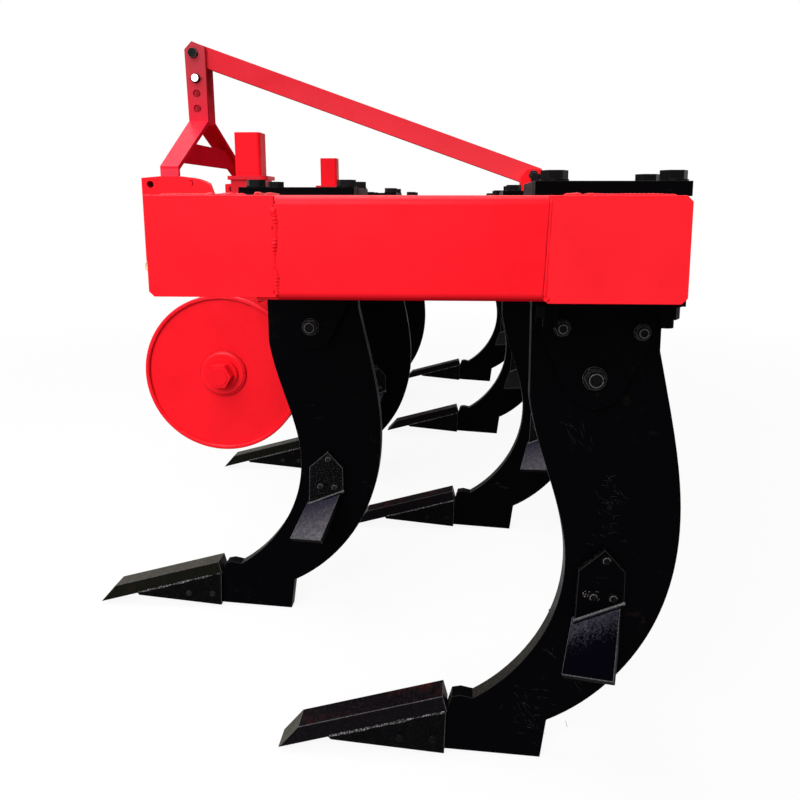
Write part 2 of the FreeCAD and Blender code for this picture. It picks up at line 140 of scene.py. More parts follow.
class Row(Enum):
    """The two rows of tines, with how many each has."""

    FRONT = 3
    REAR = 4

    @property
    def word(self) -> str:
        """The row's name as it stands in a node's name."""
        return self.name.lower()


class NodeSheet:
    """Writes the node tree of one material or world."""

    def __init__(self, owner: Material | bpy.types.World) -> None:
        """Turns the owner's nodes on.

        Args:
            owner: what the nodes belong to.
        """
        owner.use_nodes = True
        self.owner = owner
        self.tree = owner.node_tree

    @classmethod
    def named(cls, name: str) -> NodeSheet:
        """The sheet of a new material."""
        return cls(bpy.data.materials.new(name))

    @cached_property
    def shader(self) -> bpy.types.Node:
        """The material's surface shader."""
        return self.tree.nodes["Principled BSDF"]

    @cached_property
    def coords(self) -> Socket:
        """The place on the piece, in metres."""
        return self.add("TexCoord").outputs["Object"]

    @cached_property
    def height(self) -> Socket:
        """The place's height, in metres."""
        return self.along((0.0, 0.0, 1.0))

    def fill(self, node: bpy.types.Node, **values: object) -> None:
        """Fills a node's inputs.

        Args:
            node: the node.
            values: by input name, with underscores for spaces, a socket to link or a plain value.
        """
        for name, value in values.items():
            target = node.inputs[name.replace("_", " ")]
            if isinstance(value, Socket):
                self.tree.links.new(value, target)
            else:
                target.default_value = value

    def add(self, kind: str, **values: object) -> bpy.types.Node:
        """Adds a node, named without the ShaderNode that every type begins with, and fills its inputs.

        Args:
            kind: the node's type without its first word.
            values: the inputs, as fill takes them.

        Returns:
            The node.
        """
        node = self.tree.nodes.new("ShaderNode" + kind)
        self.fill(node, **values)
        return node

    def dress(self, **values: object) -> None:
        """Fills inputs of the surface shader."""
        self.fill(self.shader, **values)

    def noise(self, scale: float, detail: float = 4.0, rough: float = 0.5,
              stretch: Triple = (1, 1, 1)) -> Socket:
        """Adds a noise pattern fixed to the piece.

        Args:
            scale: how many blotches a metre, roughly.
            detail: octaves of finer noise.
            rough: weight of the finer octaves.
            stretch: scale factors along X, Y and Z.

        Returns:
            The pattern's value socket.
        """
        mapping = self.add("Mapping", Scale=stretch, Vector=self.coords)
        return self.add("TexNoise", Scale=scale, Detail=detail, Roughness=rough,
                        Vector=mapping.outputs["Vector"]).outputs["Fac"]

    def band(self, value: Socket, low: float, high: float,
             to_low: float = 0.0, to_high: float = 1.0) -> Socket:
        """Maps a value from low..high to to_low..to_high, held at the ends."""
        return self.add("MapRange", From_Min=low, From_Max=high, To_Min=to_low, To_Max=to_high,
                        Value=value).outputs["Result"]

    def reckon(self, operation: str, a: Socket, b: Socket) -> Socket:
        """The result of a named operation on two value sockets.

        Args:
            operation: the operation's name.
            a: the first value.
            b: the second value.

        Returns:
            The result's socket.
        """
        node = self.add("Math")
        node.operation = operation
        for value, target in ((a, node.inputs[0]), (b, node.inputs[1])):
            self.tree.links.new(value, target)
        return node.outputs["Value"]

    def times(self, a: Socket, b: Socket) -> Socket:
        """The product of two value sockets."""
        return self.reckon("MULTIPLY", a, b)

    def plus(self, a: Socket, b: Socket) -> Socket:
        """The sum of two value sockets."""
        return self.reckon("ADD", a, b)

    def mix(self, factor: Socket, a: Socket | Colour, b: Socket | Colour) -> Socket:
        """Mixes two colours, each given as a socket or as red, green and blue.

        Args:
            factor: the share of the second colour.
            a: the first colour.
            b: the second colour.

        Returns:
            The mixed colour's socket.
        """
        node = self.add("Mix")
        node.data_type = "RGBA"
        self.fill(node, Factor=factor)
        for value, target in ((a, node.inputs[6]), (b, node.inputs[7])):
            if isinstance(value, tuple):
                target.default_value = (*value, 1.0)
            else:
                self.tree.links.new(value, target)
        return node.outputs[2]

    def bump(self, height: Socket, strength: float, distance: float, under: Socket | None = None) -> Socket:
        """Adds a bump from a height value, over another bump if given, and returns its normal.

        Args:
            height: the height's value.
            strength: how strong the bump is, from 0 to 1.
            distance: how high it stands, in metres.
            under: the normal of the bump below it.

        Returns:
            The normal's socket.
        """
        node = self.add("Bump", Strength=strength, Distance=distance, Height=height)
        if under is not None:
            self.fill(node, Normal=under)
        return node.outputs["Normal"]

    def along(self, direction: Triple) -> Socket:
        """How far a place lies along a direction, in metres.

        Args:
            direction: the direction, with its length as a factor.

        Returns:
            The length's socket.
        """
        node = self.add("VectorMath")
        node.operation = "DOT_PRODUCT"
        self.tree.links.new(self.coords, node.inputs[0])
        node.inputs[1].default_value = direction
        return node.outputs["Value"]

    def facing_up(self) -> Socket:
        """How far the surface faces up, from -1 to 1."""
        normal = self.add("NewGeometry").outputs["Normal"]
        return self.add("SeparateXYZ", Vector=normal).outputs["Z"]


@dataclass(frozen=True)
class RedEnamel:
    """Semi-gloss red enamel on welded steel, with painted shade on faces turned down, and where given a
    darker painted shade up high and a paler painted highlight down low.
    """

    name: str = "red_enamel"
    body: Colour = (0.90, 0.0085, 0.0165)
    thin: Colour = (0.80, 0.0060, 0.0120)
    gloss: Span = (0.10, 0.23)
    # dull is a darker colour painted up high as shade; pale is a paler colour painted low down as highlight.
    dull: Colour | None = None
    pale: Colour | None = None
    pale_to: float = 1.088
    pale_fade: float = 0.008
    dull_from: float = 1.262
    dull_fade: float = 0.19
    dust: Colour = (0.62, 0.10, 0.08)
    dustiness: float = 0.22
    roughness: Span = (0.30, 0.44)
    # under is a darker colour painted on faces turned down as shade.
    under: Colour = (0.46, 0.0035, 0.0075)

    def material(self) -> Material:
        """Builds the finish.

        Returns:
            The new material.
        """
        sheet = NodeSheet.named(self.name)
        blotch = sheet.band(sheet.noise(6.0, 6.0, 0.6), 0.42, 0.70)
        coat = sheet.mix(blotch, self.body, self.thin)
        # Painted shade: up high the coat turns darker, with a small step where it starts.
        if self.dull is not None:
            edge, end = self.dull_from, self.dull_from + self.dull_fade
            above = sheet.plus(sheet.band(sheet.height, edge - 0.002, edge + 0.006, 0.0, 0.3),
                               sheet.band(sheet.height, edge, end, 0.0, 0.7))
            coat = sheet.mix(above, coat, self.dull)
        # Painted highlight: low down the coat turns paler.
        if self.pale is not None:
            below = sheet.band(sheet.height, self.pale_to, self.pale_to + self.pale_fade, 1.0, 0.0)
            coat = sheet.mix(below, coat, self.pale)
        # Painted shade: faces turned down take the darker under colour and lose their gloss.
        upside = sheet.band(sheet.facing_up(), -0.75, -0.15)
        settled = sheet.times(sheet.band(sheet.facing_up(), 0.6, 1.0, 0.0, self.dustiness),
                              sheet.band(sheet.noise(22.0, 8.0, 0.7), 0.48, 0.62))
        shine = sheet.times(sheet.band(sheet.facing_up(), 0.25, 0.85, *self.gloss), upside)
        peel = sheet.bump(sheet.noise(380.0, 2.0), 0.06, 0.0005)
        # The specular tint gives the reflections a painted bluish-pink tone, standing in for the colour of
        # sky light.
        sheet.dress(Base_Color=sheet.mix(settled, sheet.mix(upside, self.under, coat), self.dust),
                    Roughness=sheet.band(sheet.noise(15.0, 5.0, 0.6), 0.3, 0.7, *self.roughness),
                    Normal=sheet.bump(sheet.noise(8.0, 2.0), 0.10, 0.003, peel),
                    Specular_IOR_Level=shine, Specular_Tint=(1.0, 0.72, 0.95, 1.0))
        return sheet.owner


@dataclass(frozen=True)
class BlackEnamel:
    """Black enamel on thick plate, with fine scuffs down to grey and a little soil."""

    name: str = "black_enamel"
    body: Colour = (0.0008, 0.0008, 0.0013)
    scuff: Colour = (0.038, 0.038, 0.042)
    soil: Colour = (0.030, 0.018, 0.012)
    wear: float = 0.60
    speckle: float = 0.0
    roughness: Span = (0.34, 0.55)
    gloss: float = 0.012
    patch: Span = (0.56, 0.68)
    spread: Span = (0.50, 0.66)
    lower: Colour | None = None
    slope: float = 0.0
    fade: float = 0.001

    def material(self, level: float = 0.0) -> Material:
        """Builds the finish.

        Args:
            level: the height less the slope times Y under which the lower tone shows, in metres.

        Returns:
            The new material.
        """
        sheet = NodeSheet.named(self.name)
        base: Socket | Colour = self.body
        if self.lower is not None:
            above = sheet.band(sheet.along((0.0, -self.slope, 1.0)), level - self.fade, level)
            base = sheet.mix(above, self.lower, self.body)
        streaks = sheet.band(sheet.noise(55.0, 9.0, 0.78, (1.0, 0.3, 1.0)), 0.62, 0.70)
        patches = sheet.band(sheet.noise(9.0, 3.0, 0.5), 0.52, 0.66, 0.0, self.wear)
        worn = sheet.mix(sheet.times(streaks, patches), base, self.scuff)
        dusty = sheet.times(sheet.band(sheet.noise(34.0, 9.0, 0.8), *self.patch),
                            sheet.band(sheet.noise(5.0, 2.0), *self.spread, 0.0, 0.6 * self.wear))
        colour = sheet.mix(dusty, worn, self.soil)
        if self.speckle > 0.0:
            grains = sheet.band(sheet.noise(260.0, 3.0, 0.6), 0.50, 0.66, 0.0, self.speckle)
            colour = sheet.mix(grains, colour, self.scuff)
        grain = sheet.bump(sheet.noise(300.0, 3.0, 0.6), 0.14, 0.0008)
        sheet.dress(Base_Color=colour, Specular_IOR_Level=self.gloss,
                    Roughness=sheet.band(sheet.noise(18.0, 6.0, 0.65), 0.3, 0.7, *self.roughness),
                    Normal=sheet.bump(sheet.noise(14.0, 3.0), 0.16, 0.003, grain))
        return sheet.owner


@dataclass(frozen=True)
class BladeEnamel:
    """A wing blade's enamel: painted light, where one tone at its fold turns raggedly into another at its
    foot, with grains of wear on the lighter tone.
    """

    name: str
    fold: Colour
    foot: Colour
    grain: Colour
    speckle: float
    fade: float
    gloss: float
    fold_slope: float

    def material(self, level: float) -> Material:
        """Builds the finish.

        Args:
            level: the fold's height less its slope times its Y, in metres.

        Returns:
            The new material.
        """
        sheet = NodeSheet.named(self.name)
        height = sheet.plus(sheet.along((0.0, -self.fold_slope, 1.0)),
                            sheet.band(sheet.noise(240.0, 3.0, 0.7), 0.38, 0.64, -0.011, 0.007))
        down = sheet.band(height, level - self.fade, level - 0.003)
        # The lighter end's tone is painted light; the grains of wear lie on it.
        lit_foot = sum(self.foot) > sum(self.fold)
        grains = sheet.band(sheet.noise(230.0, 4.0, 0.7), 0.47, 0.63, 0.0, self.speckle)
        patches = sheet.band(sheet.noise(40.0, 3.0, 0.6), 0.40, 0.62, 0.35, 1.0)
        rubbed = sheet.mix(sheet.times(grains, patches), self.foot if lit_foot else self.fold, self.grain)
        colour = sheet.mix(down, rubbed, self.fold) if lit_foot else sheet.mix(down, self.foot, rubbed)
        ragged = sheet.band(sheet.noise(95.0, 5.0, 0.75), 0.44, 0.58, 0.55, 1.0)
        sheet.dress(Base_Color=sheet.mix(ragged, self.fold if lit_foot else self.foot, colour),
                    Roughness=0.45, Specular_IOR_Level=self.gloss,
                    Normal=sheet.bump(sheet.noise(260.0, 3.0, 0.6), 0.25, 0.0008))
        return sheet.owner


@dataclass(frozen=True)
class PlatedSteel:
    """Zinc-plated steel with faint turning marks."""

    name: str = "zinc_plate"
    body: Colour = (0.86, 0.85, 0.82)
    dull: Colour = (0.62, 0.60, 0.55)

    def material(self) -> Material:
        """Builds the finish.

        Returns:
            The new material.
        """
        sheet = NodeSheet.named(self.name)
        cloud = sheet.band(sheet.noise(70.0, 5.0, 0.6), 0.45, 0.75)
        sheet.dress(Base_Color=sheet.mix(cloud, self.body, self.dull), Metallic=1.0,
                    Roughness=sheet.band(sheet.noise(45.0, 4.0), 0.3, 0.7, 0.22, 0.40),
                    Normal=sheet.bump(sheet.noise(900.0, 2.0, 0.5, (1.0, 0.05, 0.05)), 0.12, 0.0004))
        return sheet.owner


def finish(enamel: RedEnamel | BlackEnamel | PlatedSteel, *level: float) -> Material:
    """A palette's field whose material is built with the palette."""
    return field(default_factory=lambda: enamel.material(*level))


@dataclass(frozen=True)
class Palette:
    """The finishes of the machine, built once."""

    red: Material = finish(RedEnamel())
    # A darker, bluer copy of the red for the mast: painted shade with a painted sheen in its blue cast,
    # darker still up high and paler as a painted highlight low down.
    mast_red: Material = finish(RedEnamel(
        "mast_enamel", (0.78, 0.014, 0.040), (0.72, 0.012, 0.034), (0.0, 0.24), (0.44, 0.040, 0.054),
        (0.80, 0.046, 0.080)))
    # A darker copy of the red for the stay: painted shade, turning paler towards its lower end as a painted
    # highlight.
    stay_red: Material = finish(RedEnamel(
        "stay_enamel", (0.64, 0.015, 0.026), (0.58, 0.012, 0.020), (0.06, 0.23), None, (0.86, 0.050, 0.066),
        0.98, 0.42))
    # A darker copy of the red for the wheels' sleeves: painted shade.
    sleeve_red: Material = finish(RedEnamel(
        "sleeve_enamel", (0.64, 0.015, 0.026), (0.58, 0.012, 0.020), (0.06, 0.23)))
    # A pinker copy of the red, much glossier where it faces up, for rounded edges: painted highlight.
    edge_red: Material = finish(RedEnamel(
        "edge_enamel", (0.90, 0.016, 0.028), (0.84, 0.014, 0.024), (0.08, 0.85)))
    # A dark red for painted shade in creases, beside weld beads and under lips.
    crease_red: Material = finish(RedEnamel(
        "crease_enamel", (0.46, 0.005, 0.010), (0.56, 0.006, 0.012), (0.04, 0.20)))
    seam_red: Material = finish(RedEnamel(
        "seam_enamel", (0.30, 0.0030, 0.006), (0.42, 0.004, 0.008), (0.04, 0.20)))
    plate_red: Material = finish(RedEnamel("plate_enamel", (0.90, 0.0145, 0.0235), (0.82, 0.0115, 0.0185)))
    post_red: Material = finish(RedEnamel(
        "post_enamel", (0.86, 0.010, 0.019), (0.78, 0.008, 0.015), (0.03, 0.23)))
    black: Material = finish(BlackEnamel())
    # Lighter black for rounded edges: scuffs of edge wear, and a painted highlight in its lighter body.
    black_edge: Material = finish(BlackEnamel(
        "black_enamel_edge", (0.0100, 0.0100, 0.0110), (0.080, 0.078, 0.082), wear=1.0, gloss=0.12,
        roughness=(0.25, 0.42)))
    # Lighter black for the points' and wings' rounded edges: edge wear, and a painted highlight in its
    # lighter body.
    point_edge: Material = finish(BlackEnamel(
        "point_enamel_edge", (0.045, 0.043, 0.044), (0.20, 0.19, 0.20), wear=1.0, speckle=0.4, gloss=0.12,
        roughness=(0.24, 0.40)))
    point_tip: Material = finish(BlackEnamel(
        "point_tip_enamel", (0.024, 0.022, 0.012), (0.075, 0.072, 0.045), wear=1.0, speckle=0.35, gloss=0.05))
    wing_plate: Material = finish(BlackEnamel(
        "wing_plate_enamel", (0.0012, 0.0012, 0.0016), (0.060, 0.056, 0.056), wear=0.9, speckle=0.36))
    # Darker blades for the rear tines past the middle: painted shade, with speckles of wear.
    far_blade: Material = finish(BlackEnamel(
        "far_blade_enamel", (0.0080, 0.0076, 0.0084), (0.060, 0.056, 0.058), wear=0.9, speckle=0.30))
    ridge: Material = finish(BlackEnamel(
        "ridge_enamel", (0.085, 0.085, 0.083), (0.24, 0.235, 0.23), wear=1.0, speckle=0.5, gloss=0.20))
    bead: Material = finish(BlackEnamel(
        "bead_enamel", (0.012, 0.012, 0.013), (0.40, 0.38, 0.39), wear=1.0, speckle=0.75,
        roughness=(0.22, 0.38), gloss=0.15))
    bolt: Material = finish(BlackEnamel(
        "bolt_enamel", (0.0022, 0.0022, 0.0026), (0.050, 0.050, 0.055), wear=0.8, roughness=(0.28, 0.42),
        gloss=0.05))
    # Grey for bolts' rounded edges and rims: edge wear, and a painted highlight in its light body.
    bolt_edge: Material = finish(BlackEnamel(
        "bolt_enamel_edge", (0.085, 0.085, 0.085), (0.24, 0.24, 0.24), wear=1.0, speckle=0.5,
        roughness=(0.28, 0.42), gloss=0.15))
    grey_bolt: Material = finish(BlackEnamel(
        "grey_bolt_enamel", (0.010, 0.010, 0.010), (0.060, 0.060, 0.060), wear=0.8, speckle=0.25, gloss=0.03))
    worn_bolt: Material = finish(BlackEnamel(
        "worn_bolt_enamel", (0.0030, 0.0030, 0.0030), (0.040, 0.040, 0.040), wear=0.8, speckle=0.15,
        gloss=0.02))
    shin: Material = finish(BlackEnamel(
        "shin_enamel", scuff=(0.11, 0.105, 0.09), wear=1.0, speckle=0.22, gloss=0.03,
        lower=(0.016, 0.015, 0.012), fade=0.22), 0.44)
    front_shin: Material = finish(BlackEnamel(
        "front_shin_enamel", scuff=(0.08, 0.075, 0.07), wear=1.0, speckle=0.10, gloss=0.02,
        lower=(0.016, 0.015, 0.012), fade=0.10), 0.24)
    front_top: Material = finish(BlackEnamel(
        "front_point_enamel", (0.032, 0.030, 0.023), (0.150, 0.145, 0.115), wear=1.0, speckle=0.50,
        gloss=0.04))
    rear_top: Material = finish(BlackEnamel(
        "rear_point_enamel", (0.0030, 0.0026, 0.0036), (0.090, 0.080, 0.085), (0.085, 0.013, 0.011), wear=1.2,
        speckle=0.12, patch=(0.49, 0.65), spread=(0.41, 0.57)))
    scratch: Material = finish(BlackEnamel(
        "scratch_enamel", (0.011, 0.011, 0.012), (0.090, 0.088, 0.088), wear=1.0, speckle=0.4, gloss=0.03))
    lump_rust: Material = finish(BlackEnamel(
        "lump_enamel", (0.060, 0.048, 0.040), (0.26, 0.23, 0.21), wear=1.0, speckle=0.6, gloss=0.06))
    zinc: Material = finish(PlatedSteel())
    gold: Material = finish(PlatedSteel("yellow_zinc", (0.80, 0.62, 0.34), (0.60, 0.44, 0.22)))


def new_piece(name: str, mesh: bpy.types.Mesh, material: Material, body: str) -> Piece:
    """Links a mesh as a piece of the machine that rides on a body.

    Args:
        name: the piece's name.
        mesh: its mesh, in the row frame.
        material: its finish.
        body: the body that it rides on.

    Returns:
        The new object.
    """
    piece = bpy.data.objects.new(name, mesh)
    bpy.context.scene.collection.objects.link(piece)
    piece.data.materials.clear()
    piece.data.materials.append(material)
    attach(piece, body)
    return piece


def shade_by_angle(mesh: bpy.types.Mesh, degrees: float) -> None:
    """Makes a mesh smooth except along edges sharper than an angle.

    Args:
        mesh: the mesh.
        degrees: the angle in degrees.
    """
    form = bmesh.new()
    form.from_mesh(mesh)
    limit = math.radians(degrees)
    for edge in form.edges:
        edge.smooth = len(edge.link_faces) == 2 and edge.calc_face_angle(0.0) < limit
    for face in form.faces:
        face.smooth = True
    form.to_mesh(mesh)
    form.free()


@dataclass
class EasedNode:
    """A stand-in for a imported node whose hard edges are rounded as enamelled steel's are."""

    node: str
    slot: str
    radius: float = 1.5 * MM
    segments: int = 2
    edge: Material | None = None
    eased_over: float = 32.0
    smooth_under: float = 34.0
    flat_under: float = 0.6
    weld_within: float = 2e-6

    def build(self, frame: dict, material: Material, body: str = FRAME_BODY) -> Piece:
        """Copies the node's mesh, rounds its edges and dresses it.

        Args:
            frame: what the frame loader gave.
            material: the finish.
            body: the body that the node is on.

        Returns:
            The piece.
        """
        mesh = frame["nodes"][self.node].data.copy()
        form = bmesh.new()
        form.from_mesh(mesh)
        bmesh.ops.remove_doubles(form, verts=form.verts[:], dist=self.weld_within)
        bmesh.ops.dissolve_limit(form, angle_limit=math.radians(self.flat_under), verts=form.verts[:],
                                 edges=form.edges[:])
        form.to_mesh(mesh)
        form.free()
        piece = new_piece(self.node + "_dressed", mesh, material, body)
        rounding = piece.modifiers.new("eased_edges", "BEVEL")
        rounding.width = self.radius
        rounding.segments = self.segments
        rounding.limit_method = "ANGLE"
        rounding.angle_limit = math.radians(self.eased_over)
        rounding.use_clamp_overlap = True
        rounding.miter_outer = "MITER_ARC"
        if self.edge is not None:
            piece.data.materials.append(self.edge)
            rounding.material = 1
        self.apply(piece)
        shade_by_angle(piece.data, self.smooth_under)
        piece.modifiers.new("flat_faces", "WEIGHTED_NORMAL").keep_sharp = True
        self.apply(piece)
        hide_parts(self.node)
        return piece

    def recolour(self, piece: Piece, material: Material, chosen: Callable, base: int = 0) -> None:
        """Gives some of a piece's faces another finish.

        Args:
            piece: the piece.
            material: the other finish.
            chosen: tells from a face's centre and normal whether it is meant.
            base: the finish that the faces have so far.
        """
        piece.data.materials.append(material)
        last = len(piece.data.materials) - 1
        for face in piece.data.polygons:
            if face.material_index == base and chosen(face.center, face.normal):
                face.material_index = last

    def apply(self, piece: Piece) -> None:
        """Puts the modifiers' result into the piece's mesh.

        Args:
            piece: the piece.
        """
        graph = bpy.context.evaluated_depsgraph_get()
        result = bpy.data.meshes.new_from_object(piece.evaluated_get(graph))
        piece.modifiers.clear()
        piece.data = result


class Shape(Protocol):
    """Something that can be joined into a piece: a bead, a lump or a turned part."""

    def add(self, form: Form) -> None:
        """Adds the skin to a mesh under construction."""


def skin(form: Form, rings: list[list[Vector]]) -> None:
    """Adds a closed skin over rings of points to a mesh under construction.

    Args:
        form: the mesh under construction.
        rings: the rings from one end to the other, each with as many points.
    """
    previous: list[bmesh.types.BMVert] = []
    for points in rings:
        ring = [form.verts.new(point) for point in points]
        if previous:
            for k in range(len(ring)):
                after = (k + 1) % len(ring)
                form.faces.new((previous[k], previous[after], ring[after], ring[k]))
        else:
            form.faces.new(ring[::-1])
        previous = ring
    form.faces.new(previous)


@dataclass
class WeldBead:
    """A fillet weld: a rounded bead with the ripples of its pool, along a path of points."""

    path: list[Vector]
    radius: float = 4.0 * MM
    pitch: float = 5.0 * MM
    seed: float = 0.0
    sides: int = 8
    wander: float = 0.35
    ripple: float = 0.13

    def centres(self) -> list[Vector]:
        """The places of the rings, half a ripple apart.

        Returns:
            The places.
        """
        places = []
        for start, end in zip(self.path[:-1], self.path[1:]):
            steps = max(1, round((end - start).length / (self.pitch / 2)))
            places.extend(start.lerp(end, i / steps) for i in range(steps))
        places.append(self.path[-1])
        return places

    def add(self, form: Form) -> None:
        """Adds the bead's skin to a mesh under construction.

        Args:
            form: the mesh under construction.
        """
        places = self.centres()
        last = len(places) - 1
        aside = (places[1] - places[0]).orthogonal().normalized()
        rings = []
        for i, centre in enumerate(places):
            along = (places[min(i + 1, last)] - places[max(i - 1, 0)]).normalized()
            aside = (aside - along * aside.dot(along)).normalized()
            over = along.cross(aside)
            swell = noise.noise(centre * 40.0 + at(self.seed, 0.0, 0.0))
            drift = noise.noise(centre * 25.0 + at(0.0, self.seed + 7.0, 0.0)) * self.radius * self.wander
            reach = self.radius * (1.0 + self.ripple * (1 if i % 2 else -1)) * (1.0 + self.wander * swell)
            if i in (0, last):
                reach *= 0.5
            turns = [2 * math.pi * k / self.sides for k in range(self.sides)]
            rings.append([centre + aside * (reach * math.cos(turn) + drift)
                          + over * (reach * math.sin(turn) + drift) for turn in turns])
        skin(form, rings)


@dataclass
class WeldLump:
    """A stray lump of weld metal, as where a bead starts or stops."""

    centre: Vector
    reach: Vector
    seed: float = 0.0

    def add(self, form: Form) -> None:
        """Adds the lump to a mesh under construction.

        Args:
            form: the mesh under construction.
        """
        made = bmesh.ops.create_icosphere(form, subdivisions=2, radius=1.0)
        for vert in made["verts"]:
            swell = 1.0 + 0.35 * noise.noise(vert.co * 1.7 + at(self.seed, 3.0, 0.0))
            vert.co = self.centre + Vector([c * r * swell for c, r in zip(vert.co, self.reach)])


@dataclass
class Turned:
    """A turned piece: a profile of distances along the axis and radii, spun about the axis."""

    foot: Vector
    axis: Vector
    profile: list[Span]
    sides: int = 24

    def add(self, form: Form) -> None:
        """Adds the turned skin, closed at both ends, to a mesh under construction.

        Args:
            form: the mesh under construction.
        """
        aside = self.axis.orthogonal().normalized()
        over = self.axis.cross(aside)
        turns = [2 * math.pi * (k + 0.5) / self.sides for k in range(self.sides)]
        skin(form, [[self.foot + self.axis * reach + aside * (radius * math.cos(turn))
                     + over * (radius * math.sin(turn)) for turn in turns] for reach, radius in self.profile])


def hex_head(foot: Vector, axis: Vector, flats: float, height: float) -> list[Turned]:
    """A bolt head on its washer: a hexagon whose corners are turned down at the top.

    Args:
        foot: the middle of the washer's underside.
        axis: the way the head stands.
        flats: the size across the flats.
        height: the head's height above the washer.

    Returns:
        The washer and the head.
    """
    corner = flats / math.sqrt(3)
    rim = 1.12 * flats * 0.58
    washer = 0.18 * height
    return [Turned(foot, axis, [(-0.3 * MM, rim), (washer, rim)], 20),
            Turned(foot, axis, [(washer * 0.5, corner * 0.98), (washer + height * 0.82, corner),
                                (washer + height, corner * 0.84)], 6)]


def round_head(foot: Vector, axis: Vector, radius: float, height: float) -> Turned:
    """A domed bolt head.

    Args:
        foot: the middle of the head's underside.
        axis: the way the head stands.
        radius: the head's radius.
        height: the head's height.

    Returns:
        The head.
    """
    dome = [(-0.3 * MM, radius)]
    for turn in (25.0, 50.0, 72.0):
        dome.append((height * math.sin(math.radians(turn)), radius * math.cos(math.radians(turn * 0.9))))
    return Turned(foot, axis, dome, 16)


def bent_wire(path: list[Vector], radius: float) -> WeldBead:
    """A smooth round wire along a path."""
    return WeldBead(path, radius, WELD_RIPPLE, wander=0.0)


def circle_about_x(centre: Vector, radius: float, steps: int = 28) -> list[Vector]:
    """Points round a circle across X, closed."""
    turns = [2 * math.pi * k / steps for k in range(steps + 1)]
    return [centre + at(0.0, radius * math.cos(turn), radius * math.sin(turn)) for turn in turns]


def round_x(x: float, low: Vector, high: Vector) -> list[Vector]:
    """The outline of a box across X, closed."""
    return [at(x, y, z) for y, z in ((low.y, low.z), (high.y, low.z), (high.y, high.z), (low.y, high.z),
                                     (low.y, low.z))]


def round_y(y: float, low: Vector, high: Vector) -> list[Vector]:
    """The outline of a box across Y, closed."""
    return [at(x, y, z) for x, z in ((low.x, low.z), (high.x, low.z), (high.x, high.z), (low.x, high.z),
                                     (low.x, low.z))]


def joined_piece(name: str, forms: list[Shape], material: Material, body: str = FRAME_BODY,
                 smooth: float = 40.0) -> Piece:
    """Joins beads, lumps and turned parts into one piece.

    Args:
        name: the piece's name.
        forms: what to join, each with an add method.
        material: the finish.
        body: the body that the piece rides on.
        smooth: the angle under which edges are smooth.

    Returns:
        The piece.
    """
    form = bmesh.new()
    for item in forms:
        item.add(form)
    bmesh.ops.recalc_face_normals(form, faces=form.faces[:])
    mesh = bpy.data.meshes.new(name)
    form.to_mesh(mesh)
    form.free()
    shade_by_angle(mesh, smooth)
    return new_piece(name, mesh, material, body)


